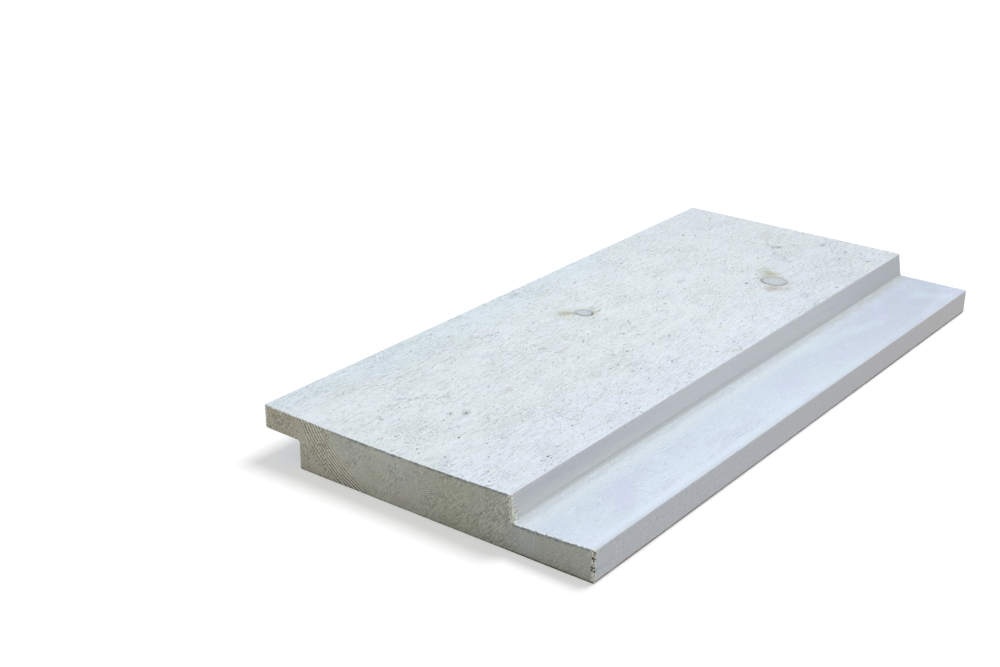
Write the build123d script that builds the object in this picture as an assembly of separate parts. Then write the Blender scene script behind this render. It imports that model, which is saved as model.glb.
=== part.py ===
"""Primed, rebated cladding board: one sawn length of softwood with a lip and a tongue.

The board lies on its back with its weather face up. +X runs across the board from the lip
to the tongue, +Y along the grain and +Z out of the weather face. The origin is under the
middle of the board, on the plane of its back.
"""
from build123d import *
import os

# Across the board, in millimetres
face_width = 111.5  # flat weather face, from the lip's edge to the top of the shoulder
shoulder_run = 1.5  # how far the shoulder leans out on its way down to the tongue
tongue_width = 32.0  # from the shoulder's foot to the tongue's edge
lip_width = 17.0  # overhang of the lip beyond the rebate

# Through the board
tongue_thickness = 10.6
lap_clearance = 1.0  # left between a lip and the tongue under it, for paint and swelling
lip_thickness = 9.4

# Along the board
board_length = 300.0

# Cutter and arris sizes
face_arris_radius = 0.4  # both edges of the weather face
lip_foot_radius = 1.0  # lower edge of the lip, rounded so that paint holds on it
rebate_root_radius = 0.8
shoulder_root_radius = 1.2
tongue_arris_radius = 0.3
tongue_foot_chamfer = 0.5  # lower edge of the tongue, broken so that boards slide together
back_arris_radius = 0.5

# A lip, a tongue and their clearance make up the thickness, so boards lap flush
board_width = face_width + shoulder_run + tongue_width
board_thickness = lip_thickness + lap_clearance + tongue_thickness
lip_edge = -board_width / 2
rebate_wall = lip_edge + lip_width
shoulder_top = lip_edge + face_width
shoulder_foot = shoulder_top + shoulder_run
tongue_edge = board_width / 2
lip_underside = board_thickness - lip_thickness


def corner(section: Sketch, across: float, up: float) -> Vertex:
    """Return the section's corner at a place across the board and up from its back."""
    return section.vertices().sort_by_distance((across, 0, up))[0]


def board_section() -> Sketch:
    """Draw the board's section, seen from its front end, with its arrises worked."""
    outline = [
        (lip_edge, board_thickness),
        (lip_edge, lip_underside),
        (rebate_wall, lip_underside),
        (rebate_wall, 0),
        (tongue_edge, 0),
        (tongue_edge, tongue_thickness),
        (shoulder_foot, tongue_thickness),
        (shoulder_top, board_thickness),
    ]
    section = Sketch() + make_face(Plane.XZ * Polyline(outline, close=True))
    rounds = [
        (lip_edge, board_thickness, face_arris_radius),
        (shoulder_top, board_thickness, face_arris_radius),
        (lip_edge, lip_underside, lip_foot_radius),
        (rebate_wall, lip_underside, rebate_root_radius),
        (rebate_wall, 0, back_arris_radius),
        (tongue_edge, tongue_thickness, tongue_arris_radius),
        (shoulder_foot, tongue_thickness, shoulder_root_radius),
    ]
    for across, up, radius in rounds:
        section = fillet(corner(section, across, up), radius)
    return chamfer(corner(section, tongue_edge, 0), tongue_foot_chamfer)


def cladding_board() -> Part:
    """Run the section out along the grain, half each way from the middle of the board."""
    return extrude(board_section(), amount=board_length / 2, both=True)


os.makedirs("parts", exist_ok=True)
export_step(cladding_board(), "parts/cladding_board.step")
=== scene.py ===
"""Looks of one primed cladding board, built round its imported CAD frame.

The board lies on its back with its weather face up. +X runs across it from the lip to the tongue,
+Y along the grain and +Z out of the weather face. The shapes are in metres. The finishes, stains
and flecks are laid out in millimetres.
"""
import logging
import math
from dataclasses import dataclass, field
from enum import Enum
from functools import cached_property, lru_cache, reduce

import bmesh
import bpy
import numpy as np
from mathutils import Matrix, Vector


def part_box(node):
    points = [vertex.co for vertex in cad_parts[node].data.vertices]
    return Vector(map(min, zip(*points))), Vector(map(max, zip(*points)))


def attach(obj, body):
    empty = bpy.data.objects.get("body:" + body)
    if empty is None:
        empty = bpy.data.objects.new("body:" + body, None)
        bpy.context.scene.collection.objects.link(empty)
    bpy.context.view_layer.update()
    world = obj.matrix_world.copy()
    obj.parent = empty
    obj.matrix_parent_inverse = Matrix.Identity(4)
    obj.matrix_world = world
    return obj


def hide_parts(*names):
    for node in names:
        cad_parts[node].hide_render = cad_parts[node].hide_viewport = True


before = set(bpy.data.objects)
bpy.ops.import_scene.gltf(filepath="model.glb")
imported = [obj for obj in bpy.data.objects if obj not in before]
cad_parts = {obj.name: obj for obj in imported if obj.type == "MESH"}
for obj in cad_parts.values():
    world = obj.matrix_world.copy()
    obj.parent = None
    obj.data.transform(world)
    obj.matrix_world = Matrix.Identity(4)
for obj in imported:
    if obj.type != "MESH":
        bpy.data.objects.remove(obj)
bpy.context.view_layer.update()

LOG = logging.getLogger("cladding_board")
MM = 0.001
NODE = "cladding_board"
BODY = "root"
Numbers = np.ndarray
Socket = bpy.types.NodeSocket
Colour = tuple[float, float, float, float]
Triple = tuple[float, float, float]
ORIGIN = (0.0, 0.0, 0.0)


def paint(red: int, green: int, blue: int) -> Colour:
    """Turn a paint chip's 0 to 255 display values into the linear colour that sockets take.

    Args:
        red: The chip's red, from 0 to 255.
        green: Its green.
        blue: Its blue.

    Returns:
        The colour, with full cover.
    """
    def channel(value: int) -> float:
        """Turn one display value into linear light."""
        share = value / 255
        return share / 12.92 if share <= 0.04045 else ((share + 0.055) / 1.055) ** 2.4

    return channel(red), channel(green), channel(blue), 1.0


def smooth(value: Numbers, low: float, high: float) -> Numbers:
    """Rise smoothly from 0 at low to 1 at high, or fall when low is the larger."""
    share = np.clip((value - low) / (high - low), 0.0, 1.0)
    return share * share * (3 - 2 * share)


def hump(value: Numbers, middle: float, reach: float) -> Numbers:
    """Return a rounded hump of height 1 at its middle."""
    return np.exp(-(((value - middle) / reach) ** 2))


@lru_cache(maxsize=None)
def lattice(seed: int, count: int) -> Numbers:
    """Return a square table of heights from -1 to 1, the same for each seed."""
    return np.random.default_rng(seed).uniform(-1, 1, (count, count))


@dataclass(frozen=True)
class Unevenness:
    """Smooth random hills and hollows over a plane, the same on every run."""

    seed: int
    across: float
    along: float
    count: int = 512

    def at(self, across: Numbers, along: Numbers) -> Numbers:
        """Return the height at each place.

        Args:
            across: Distances along the first axis.
            along: Distances along the second axis.

        Returns:
            Heights from -1 to 1.
        """
        table = lattice(self.seed, self.count)
        u, v = np.asarray(across) / self.across, np.asarray(along) / self.along
        i, j = np.floor(u).astype(int), np.floor(v).astype(int)
        s, t = u - i, v - j
        s, t = s * s * (3 - 2 * s), t * t * (3 - 2 * t)
        n = self.count
        low = table[i % n, j % n] * (1 - s) + table[(i + 1) % n, j % n] * s
        high = table[i % n, (j + 1) % n] * (1 - s) + table[(i + 1) % n, (j + 1) % n] * s
        return low * (1 - t) + high * t


@dataclass(frozen=True)
class Section:
    """The board's section as the CAD frame has it."""

    face_width: float = 111.5 * MM
    shoulder_run: float = 1.5 * MM
    lip_width: float = 17.0 * MM
    tongue_thickness: float = 10.6 * MM
    lip_thickness: float = 9.4 * MM
    face_arris: float = 0.4 * MM
    lip_foot: float = 1.0 * MM
    rebate_root: float = 0.8 * MM
    shoulder_root: float = 1.2 * MM
    tongue_arris: float = 0.3 * MM
    tongue_foot: float = 0.5 * MM
    back_arris: float = 0.5 * MM
    low: Vector = field(default_factory=lambda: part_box(NODE)[0])
    high: Vector = field(default_factory=lambda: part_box(NODE)[1])

    @property
    def shoulder_top(self) -> float:
        """Where the weather face ends, across the board."""
        return self.low.x + self.face_width

    @property
    def shoulder_foot(self) -> float:
        """Where the shoulder meets the tongue, across the board."""
        return self.shoulder_top + self.shoulder_run

    @property
    def shoulder_lean(self) -> float:
        """How far the shoulder leans out for each metre down."""
        return self.shoulder_run / (self.high.z - self.tongue_thickness)

    @property
    def rebate_wall(self) -> float:
        """Where the rebate under the lip ends, across the board."""
        return self.low.x + self.lip_width

    @property
    def lip_underside(self) -> float:
        """Height of the lip's underside."""
        return self.high.z - self.lip_thickness

    def corners(self) -> list[tuple[float, float, float, int]]:
        """Return each corner's place across and up, its radius and the steps that round it.

        Returns:
            The corners in order round the section.
        """
        return [
            (self.low.x, self.high.z, self.face_arris, 4),
            (self.low.x, self.lip_underside, self.lip_foot, 6),
            (self.rebate_wall, self.lip_underside, self.rebate_root, 4),
            (self.rebate_wall, self.low.z, self.back_arris, 3),
            (self.high.x, self.low.z, self.tongue_foot, 1),
            (self.high.x, self.tongue_thickness, self.tongue_arris, 3),
            (self.shoulder_foot, self.tongue_thickness, self.shoulder_root, 6),
            (self.shoulder_top, self.high.z, self.face_arris, 4),
        ]


@dataclass(frozen=True)
class Knot:
    """One sound oval knot in the weather face, with a crack that is deepest along one side."""

    x: float
    y: float
    radius: float
    turn: float
    oval: float
    tint: tuple[int, int, int]
    crack_along: float
    crack_over: float
    dish: float = 0.05 * MM
    gap: float = 0.22 * MM

    def offsets(self, x: Numbers, y: Numbers) -> tuple[Numbers, Numbers]:
        """Return each place's offset along the oval and over it, evened out to a circle.

        Args:
            x: Places across the board.
            y: Places along the board.

        Returns:
            The two offsets, in metres.
        """
        away_x, away_y = x - self.x, y - self.y
        along = (away_x * math.cos(self.turn) + away_y * math.sin(self.turn)) / self.oval
        over = (away_y * math.cos(self.turn) - away_x * math.sin(self.turn)) * self.oval
        return along, over

    def distance(self, x: Numbers, y: Numbers) -> Numbers:
        """Return how far each place is from the knot's middle."""
        return np.hypot(*self.offsets(x, y))

    def crack(self, x: Numbers, y: Numbers) -> Numbers:
        """Return how far the knot stands open in each direction, from 0 to 1.

        Args:
            x: Places across the board.
            y: Places along the board.

        Returns:
            How far the crack is open.
        """
        along, over = self.offsets(x, y)
        away = np.maximum(np.hypot(along, over), 0.1 * MM)
        towards = (self.crack_along * along + self.crack_over * over) / away
        return 0.2 + 0.8 * smooth(towards, -0.5, 0.7)


KNOTS = (
    Knot(-33.9 * MM, -2.0 * MM, 3.6 * MM, math.radians(8), 1.08, (195, 203, 214), 0.65, -0.76),
    Knot(10.6 * MM, 81.2 * MM, 5.55 * MM, 0.0, 1.05, (194, 202, 207), 0.1, -0.99),
)


@dataclass(frozen=True)
class GrowthRings:
    """One run of the tree's rings on a sawn end, measured from the pith above the board."""

    pith_x: float
    pith_z: float
    flatten: float
    first: float
    spacing: float
    widening: float
    inner: float
    outer: float
    left: float
    right: float
    show: float
    relief: float
    light: Colour
    dark: Colour

    def ridges(self, x: Numbers, z: Numbers) -> Numbers:
        """Return the height of the rings' ridges at each place of an end.

        Args:
            x: Places across the board.
            z: Heights above its back.

        Returns:
            The height, in metres, below 0 between the ridges.
        """
        radius = np.hypot((x - self.pith_x) * self.flatten, z - self.pith_z)
        grown = np.maximum(1 + self.widening / self.spacing * (radius - self.first), 0.05)
        wave = np.cos(2 * np.pi * np.log(grown) / self.widening)
        band = smooth(radius, self.inner - 0.5 * MM, self.inner + 0.5 * MM)
        band *= smooth(radius, self.outer + 0.5 * MM, self.outer - 0.5 * MM)
        band *= smooth(x, self.left - 2 * MM, self.left + 2 * MM)
        band *= smooth(x, self.right + 2 * MM, self.right - 2 * MM)
        return self.relief * wave * band


RINGS = (
    GrowthRings(
        pith_x=-5.18 * MM, pith_z=39.74 * MM, flatten=0.907, first=41.5 * MM, spacing=1.14 * MM,
        widening=0.02, inner=41.0 * MM, outer=49.6 * MM, left=-60 * MM, right=-24 * MM,
        show=1.0, relief=0.05 * MM, light=paint(255, 252, 232), dark=paint(108, 102, 84),
    ),
    GrowthRings(
        pith_x=-5.18 * MM, pith_z=39.74 * MM, flatten=0.907, first=41.5 * MM, spacing=1.14 * MM,
        widening=0.02, inner=49.4 * MM, outer=52.8 * MM, left=-46 * MM, right=-30 * MM,
        show=0.55, relief=0.03 * MM, light=paint(246, 240, 214), dark=paint(140, 132, 106),
    ),
    GrowthRings(
        pith_x=0.55 * MM, pith_z=38.1 * MM, flatten=0.9, first=55.33 * MM, spacing=0.67 * MM,
        widening=0.001, inner=50.0 * MM, outer=72.0 * MM, left=50 * MM, right=65 * MM,
        show=0.46, relief=0.015 * MM, light=paint(238, 240, 230), dark=paint(146, 149, 140),
    ),
    GrowthRings(
        pith_x=-5.2 * MM, pith_z=39.7 * MM, flatten=0.9, first=27.0 * MM, spacing=0.76 * MM,
        widening=0.001, inner=26.0 * MM, outer=35.0 * MM, left=-26 * MM, right=8 * MM,
        show=0.5, relief=0.01 * MM, light=paint(236, 238, 228), dark=paint(156, 159, 150),
    ),
)


@dataclass
class CladdingBoard:
    """The whole board as one closed mesh with its sawn, torn and planed surfaces."""

    section: Section = field(default_factory=Section)
    rings: tuple[GrowthRings, ...] = RINGS
    knots: tuple[Knot, ...] = KNOTS
    pitch: float = 0.3 * MM
    ring_pitch: float = 0.2 * MM
    arris_pitch: float = 0.15 * MM
    rows: int = 340
    triangles: int = 182_000
    face_sink: float = 0.14 * MM
    end_recess: float = 0.42 * MM
    cup: float = 1.1 * MM
    cup_middle: float = -16.75 * MM
    cup_reach: float = 55.75 * MM
    front_seed: int = 41
    far_seed: int = 61
    sharp_angle: float = math.radians(48)

    def end_face(self, bm: bmesh.types.BMesh) -> None:
        """Draw the front end from its eight corners and round them.

        Args:
            bm: The mesh being made.
        """
        corners = self.section.corners()
        verts = [bm.verts.new((x, self.section.low.y, z)) for x, z, _, _ in corners]
        bm.faces.new(verts)
        for vert, (_, _, radius, steps) in zip(verts, corners):
            bmesh.ops.bevel(
                bm, geom=[vert], offset=radius, affect="VERTICES", segments=steps,
                profile=0.5, material=-1,
            )

    def scribe_lines(self) -> tuple[list[float], list[float]]:
        """Return where the end is cut into cells, across and up.

        Returns:
            The places of the cuts across and of those up.
        """
        s = self.section

        def run(start: float, stop: float, step: float) -> list[float]:
            """Divide a stretch into even steps and return where each one starts."""
            count = max(1, round((stop - start) / step))
            return [start + (stop - start) * i / count for i in range(count)]

        ring_start, ring_stop = s.low.x + 14 * MM, s.low.x + 52 * MM
        across = run(s.low.x, ring_start, self.pitch)[1:]
        across += run(ring_start, ring_stop, self.ring_pitch)
        across += run(ring_stop, s.shoulder_top - 1 * MM, self.pitch)
        across += run(s.shoulder_top - 1 * MM, s.shoulder_foot + 1 * MM, self.arris_pitch)
        across += run(s.shoulder_foot + 1 * MM, s.high.x - 1 * MM, self.pitch)
        across += run(s.high.x - 1 * MM, s.high.x, self.arris_pitch)
        tongue = s.tongue_thickness
        up = run(s.low.z, tongue - 1 * MM, self.pitch)[1:]
        up += run(tongue - 1 * MM, tongue, self.arris_pitch)
        up += run(tongue, s.high.z - 1 * MM, self.pitch)
        up += run(s.high.z - 1 * MM, s.high.z, self.arris_pitch)
        return across, up

    def scribe(self, bm: bmesh.types.BMesh) -> None:
        """Cut the end face into the fine cells that carry its rings and saw marks.

        Args:
            bm: The mesh being made.
        """
        across, up = self.scribe_lines()
        cuts = [((x, 0, 0), (1, 0, 0)) for x in across] + [((0, 0, z), (0, 0, 1)) for z in up]
        for place, direction in cuts:
            bmesh.ops.bisect_plane(
                bm, geom=bm.verts[:] + bm.edges[:] + bm.faces[:], dist=0.001 * MM,
                plane_co=place, plane_no=direction,
            )

    def run_out(self, bm: bmesh.types.BMesh) -> None:
        """Run the end out along the grain to the far end and divide the run into rows.

        Args:
            bm: The mesh being made.
        """
        length = self.section.high.y - self.section.low.y
        made = bmesh.ops.extrude_face_region(bm, geom=bm.faces[:])
        far = [item for item in made["geom"] if isinstance(item, bmesh.types.BMVert)]
        bmesh.ops.translate(bm, verts=far, vec=(0, length, 0))
        runs = [e for e in bm.edges if abs(e.verts[0].co.y - e.verts[1].co.y) > length / 2]
        bmesh.ops.subdivide_edges(bm, edges=runs, cuts=self.rows - 1, use_grid_fill=True)
        bmesh.ops.recalc_face_normals(bm, faces=bm.faces[:])

    def spread_rows(self, y: Numbers) -> Numbers:
        """Draw the rows together near the ends, where fibres are torn, and near the knots.

        Args:
            y: The rows' even places along the board.

        Returns:
            Their new places.
        """
        s = self.section
        places = np.linspace(s.low.y, s.high.y, 2000)
        near_end = np.minimum(places - s.low.y, s.high.y - places)
        weight = 1 + 3.5 * np.exp(-near_end / (1.2 * MM))
        for knot in self.knots:
            weight += 0.9 * hump(places, knot.y, 1.3 * knot.radius)
        total = np.concatenate([[0], np.cumsum((weight[1:] + weight[:-1]) / 2)])
        share = (y - s.low.y) / (s.high.y - s.low.y)
        return np.interp(share * total[-1], total, places)

    def sawn_relief(self, x: Numbers, y: Numbers) -> Numbers:
        """Return the weather face's height: saw grooves, torn grain and the knots.

        Args:
            x: Places across the board.
            y: Places along the board.

        Returns:
            The height over the smooth face, in metres.
        """
        drift = 0.9 * MM * Unevenness(3, 14 * MM, 70 * MM).at(x, y)
        patch = 0.55 + 0.45 * Unevenness(4, 12 * MM, 26 * MM).at(x, y)
        grooves = np.sin(2 * np.pi * (x + drift) / (1.12 * MM))
        grooves *= 0.5 + 0.5 * Unevenness(5, 0.9 * MM, 9 * MM).at(x, y)
        streaks = Unevenness(6, 0.55 * MM, 6 * MM).at(x, y)
        nap = Unevenness(7, 0.6 * MM, 1.5 * MM).at(x, y)
        height = MM * (0.018 * patch * grooves + 0.016 * streaks + 0.009 * nap)
        turned = Unevenness(8, 0.75 * MM, 1.9 * MM).at(x + 0.45 * y, y - 0.45 * x)
        crowd = 0.72 - 0.08 * Unevenness(10, 16 * MM, 22 * MM).at(x, y)
        height -= 0.04 * MM * smooth(turned, 0.3, 1.0) * (turned > crowd)
        raised = Unevenness(11, 0.7 * MM, 1.6 * MM).at(x - 0.3 * y, y)
        height += 0.025 * MM * smooth(raised, 0.74, 0.98)
        for knot in self.knots:
            away = knot.distance(x, y)
            inside = smooth(away, knot.radius + 0.25 * MM, knot.radius - 0.35 * MM)
            height = height * (1 - 0.9 * inside) - knot.dish * inside
            height -= knot.gap * knot.crack(x, y) * hump(away, knot.radius, 0.3 * MM)
            height += 0.02 * MM * hump(away, 1.5 * knot.radius, 0.5 * knot.radius)
        return height

    def end_relief(self, x: Numbers, z: Numbers, seed: int) -> Numbers:
        """Return a sawn end's height: growth rings, saw scratches and loose grit.

        Args:
            x: Places across the board.
            z: Heights above its back.
            seed: What sets one end's marks apart from the other's.

        Returns:
            How far the surface stands out, in metres.
        """
        height = sum(run.ridges(x, z) for run in self.rings)
        along, over = x * 0.55 + z * 0.84, z * 0.55 - x * 0.84
        scratch = Unevenness(seed, 3.2 * MM, 0.6 * MM).at(along, over)
        coarse = Unevenness(seed + 2, 1.7 * MM, 1.4 * MM).at(x, z)
        gritty = smooth(x, -20 * MM, -45 * MM)
        grit = Unevenness(seed + 1, 0.55 * MM, 0.6 * MM).at(along, over)
        return height + MM * (0.01 * scratch + 0.01 * coarse + 0.022 * gritty * grit)

    def end_shift(self, x: Numbers, z: Numbers, seed: int, torn: float = 1.0) -> Numbers:
        """Return how far a sawn end stands back from the plane of the board's full length.

        Args:
            x: Places across the board.
            z: Places up from its back.
            seed: Picks the end's own roughness.
            torn: How ragged the end's arrises are.

        Returns:
            Distances inwards along the grain, never negative.
        """
        s = self.section
        top = np.where(x < s.shoulder_top + 0.6 * MM, s.high.z, s.tongue_thickness)
        below = np.clip(top - z, 0, None)
        leaning = s.shoulder_top + s.shoulder_lean * (s.high.z - z)
        side = np.clip(np.where(z > s.tongue_thickness, leaning, s.high.x) - x, 0, None)
        ragged = Unevenness(seed + 3, 0.55 * MM, 0.5 * MM).at(x, z)
        long_rag = Unevenness(seed + 4, 2.3 * MM, 3 * MM).at(x, z)
        back = self.end_recess - self.end_relief(x, z, seed)
        lip_out = hump(below, 0, 0.3 * MM)
        back = back * (1 - lip_out) + lip_out * MM * (0.13 + torn * (0.11 * ragged + 0.05 * long_rag))
        back += 0.06 * MM * hump(below, 0.75 * MM, 0.35 * MM)
        crumbs = Unevenness(seed + 5, 0.8 * MM, 0.9 * MM).at(x, z)
        fine = Unevenness(seed + 6, 0.4 * MM, 0.45 * MM).at(x, z)
        broken = 0.1 + torn * (0.35 * smooth(crumbs, 0.0, 0.8) + 0.12 * fine)
        back += hump(side, 0, 0.9 * MM) * MM * broken
        return np.clip(back, 0.0, None)

    def bend(self, points: Numbers) -> Numbers:
        """Cup the board a little towards its front end, over a back that stays flat.

        Args:
            points: Places in the board's own frame, one row each.

        Returns:
            The places in the seasoned board.
        """
        s = self.section
        x, y, z = points[:, 0], points[:, 1], points[:, 2]
        share = (s.high.y - y) / (s.high.y - s.low.y)
        hollow = self.cup * (((x - self.cup_middle) / self.cup_reach) ** 2 - 1)
        drop = s.tongue_thickness - s.high.z
        full = s.high.z + drop * smooth(x, s.shoulder_top, s.shoulder_foot)
        bent = points.copy()
        bent[:, 2] += share * hollow * np.clip(z / full, 0, 1)
        return bent

    def keep_in(self, points: Numbers, margin: float = 0.002 * MM) -> Numbers:
        """Hold places just inside the CAD board's box."""
        low, high = self.section.low, self.section.high
        return np.clip(points, np.array(low) + margin, np.array(high) - margin)

    def face_points(self, x: Numbers, y: Numbers) -> Numbers:
        """Return places on the finished weather face, one row each."""
        z = self.section.high.z - self.face_sink + self.sawn_relief(x, y)
        return self.bend(np.stack([x, y, z], 1))

    def shift_arrises(self, x: Numbers, y: Numbers, z: Numbers) -> Numbers:
        """Return how far the face's two long arrises are nibbled, across the board.

        Args:
            x: Places across the board.
            y: Places along the board.
            z: Heights above its back.

        Returns:
            The shift, in metres.
        """
        s = self.section
        nibble = Unevenness(31, 1.3 * MM, 40 * MM).at(y, x)
        nibble += 0.6 * Unevenness(32, 0.6 * MM, 40 * MM).at(y, x)
        arris = hump(z, s.high.z, 0.5 * MM)
        at_shoulder = arris * hump(x, s.shoulder_top, 0.6 * MM)
        at_lip = arris * hump(x, s.low.x, 0.6 * MM)
        return 0.07 * MM * nibble * at_shoulder + 0.05 * MM * (1 + nibble) * at_lip

    def planed_relief(self, x: Numbers, y: Numbers, z: Numbers) -> Numbers:
        """Return the tongue's height: faint knife marks and a bead of paint on its edge.

        Args:
            x: Places across the board.
            y: Places along the board.
            z: Heights above its back.

        Returns:
            The height over the smooth tongue, in metres.
        """
        s = self.section
        on_tongue = smooth(x, s.shoulder_foot + 1 * MM, s.shoulder_foot + 3 * MM)
        on_tongue *= smooth(z, s.tongue_thickness - 0.3 * MM, s.tongue_thickness - 0.02 * MM)
        sway = 2 * Unevenness(33, 20 * MM, 30 * MM).at(x, y)
        planed = 0.008 * np.sin(2 * np.pi * y / (2.1 * MM) + sway)
        planed += 0.014 * Unevenness(34, 1.4 * MM, 9 * MM).at(x, y)
        planed += 0.05 * Unevenness(35, 9 * MM, 40 * MM).at(x, y)
        lumps = 0.6 + 0.4 * Unevenness(40, 0.7 * MM, 1.1 * MM).at(x, y)
        planed += 0.05 * lumps * hump(x, s.high.x - 0.8 * MM, 0.55 * MM)
        return on_tongue * MM * planed

    def worked(self, points: Numbers) -> Numbers:
        """Move the smooth board's points to its sawn, planed and torn surfaces.

        Args:
            points: The smooth board's points.

        Returns:
            The points in their new places.
        """
        s = self.section
        x, y, z = points[:, 0].copy(), self.spread_rows(points[:, 1]), points[:, 2].copy()
        new_x, new_y, new_z = x.copy(), y.copy(), z.copy()
        on_face = smooth(z, s.high.z - s.face_arris, s.high.z - 0.02 * MM)
        new_z += on_face * (self.sawn_relief(x, y) - self.face_sink)
        new_x += self.shift_arrises(x, y, z)
        new_z += self.planed_relief(x, y, z)
        upright = 0.02 * Unevenness(36, 1.1 * MM, 24 * MM).at(z, y)
        upright += 0.02 * Unevenness(37, 3 * MM, 50 * MM).at(z, y)
        new_x += MM * (upright - 0.04) * smooth(x, s.high.x - 0.3 * MM, s.high.x)
        new_x -= MM * (upright - 0.04) * smooth(x, s.low.x + 0.3 * MM, s.low.x)
        on_shoulder = smooth(x, s.shoulder_top - 0.1 * MM, s.shoulder_top + 0.1 * MM)
        on_shoulder *= smooth(x, s.shoulder_foot + 0.3 * MM, s.shoulder_foot)
        new_x += MM * upright * on_shoulder * (z > s.tongue_thickness)
        on_back = smooth(z, 0.3 * MM, 0.02 * MM)
        wander = 2 * Unevenness(38, 30 * MM, 12 * MM).at(x, y)
        sawn = 0.5 + 0.3 * np.sin(2 * np.pi * (y + 0.12 * x) / (3.1 * MM) + wander)
        sawn += 0.25 * Unevenness(39, 0.9 * MM, 3 * MM).at(x, y)
        new_z += on_back * 0.1 * MM * np.clip(sawn, 0, None)
        ends = ((s.low.y, 1, self.front_seed, 1.0), (s.high.y, -1, self.far_seed, 0.2))
        for end, inwards, seed, torn in ends:
            near = np.abs(y - end)
            fading = hump(near, 0, 1.1 * MM) * (near < 6 * MM)
            new_y += inwards * self.end_shift(x, z, seed, torn) * fading
        return self.keep_in(self.bend(np.stack([new_x, new_y, new_z], 1)))

    def surfaces(self, centres: Numbers, normals: Numbers) -> Numbers:
        """Pick each cell's finish from where it lies and faces on the smooth board.

        Args:
            centres: The cells' middles.
            normals: Which way the cells face.

        Returns:
            The number of each cell's finish.
        """
        s = self.section
        picks = np.full(len(centres), Surface.PLANED.value)
        picks[np.abs(normals[:, 0]) > 0.6] = Surface.UPRIGHT.value
        on_face = (normals[:, 2] > 0.7) & (centres[:, 2] > s.high.z - s.face_arris)
        picks[on_face] = Surface.FACE.value
        picks[(normals[:, 2] < -0.9) & (centres[:, 2] < 0.1 * MM)] = Surface.BACK.value
        picks[np.abs(normals[:, 1]) > 0.9] = Surface.END.value
        return picks

    def build(self, finishes: dict["Surface", bpy.types.Material]) -> bpy.types.Object:
        """Make the board.

        Args:
            finishes: The material of each kind of surface.

        Returns:
            The finished object, at the origin.
        """
        bm = bmesh.new()
        self.end_face(bm)
        self.scribe(bm)
        self.run_out(bm)
        mesh = bpy.data.meshes.new("board")
        bm.to_mesh(mesh)
        bm.free()
        points = read(mesh.vertices, "co")
        centres, normals = read(mesh.polygons, "center"), read(mesh.polygons, "normal")
        for surface in Surface:
            mesh.materials.append(finishes[surface])
        picks = self.surfaces(centres, normals)
        mesh.polygons.foreach_set("material_index", picks.astype(np.int32))
        write_places(mesh, self.worked(points))
        mesh.polygons.foreach_set("use_smooth", np.ones(len(mesh.polygons), bool))
        board = bpy.data.objects.new("primed_board", mesh)
        bpy.context.scene.collection.objects.link(board)
        thin_out(board, self.triangles)
        write_places(board.data, self.keep_in(read(board.data.vertices, "co")))
        board.data.set_sharp_from_angle(angle=self.sharp_angle)
        return board


def read(items: bpy.types.bpy_prop_collection, name: str) -> Numbers:
    """Read a three-part property of every item into rows of numbers.

    Args:
        items: The mesh's vertices or polygons.
        name: The property's name.

    Returns:
        One row of three for each item.
    """
    values = np.empty(len(items) * 3, np.float32)
    items.foreach_get(name, values)
    return values.reshape(-1, 3).astype(float)


def write_places(mesh: bpy.types.Mesh, points: Numbers) -> None:
    """Put every point of a mesh in its new place."""
    mesh.vertices.foreach_set("co", points.astype(np.float32).ravel())
    mesh.update()


def thin_out(piece: bpy.types.Object, triangles: int) -> None:
    """Merge cells where the surface is flat until the piece has about so many triangles.

    Args:
        piece: The dense object.
        triangles: About how many triangles to leave.
    """
    modifier = piece.modifiers.new("thin_out", "DECIMATE")
    modifier.use_collapse_triangulate = True
    modifier.ratio = min(1.0, triangles / (2 * len(piece.data.polygons)))
    graph = bpy.context.evaluated_depsgraph_get()
    thinned = bpy.data.meshes.new_from_object(piece.evaluated_get(graph), depsgraph=graph)
    piece.modifiers.clear()
    dense, piece.data = piece.data, thinned
    bpy.data.meshes.remove(dense)


class Surface(Enum):
    """The board's kinds of surface, in the order of its material slots."""

    FACE = 0
    PLANED = 1
    UPRIGHT = 2
    END = 3
    BACK = 4


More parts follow.
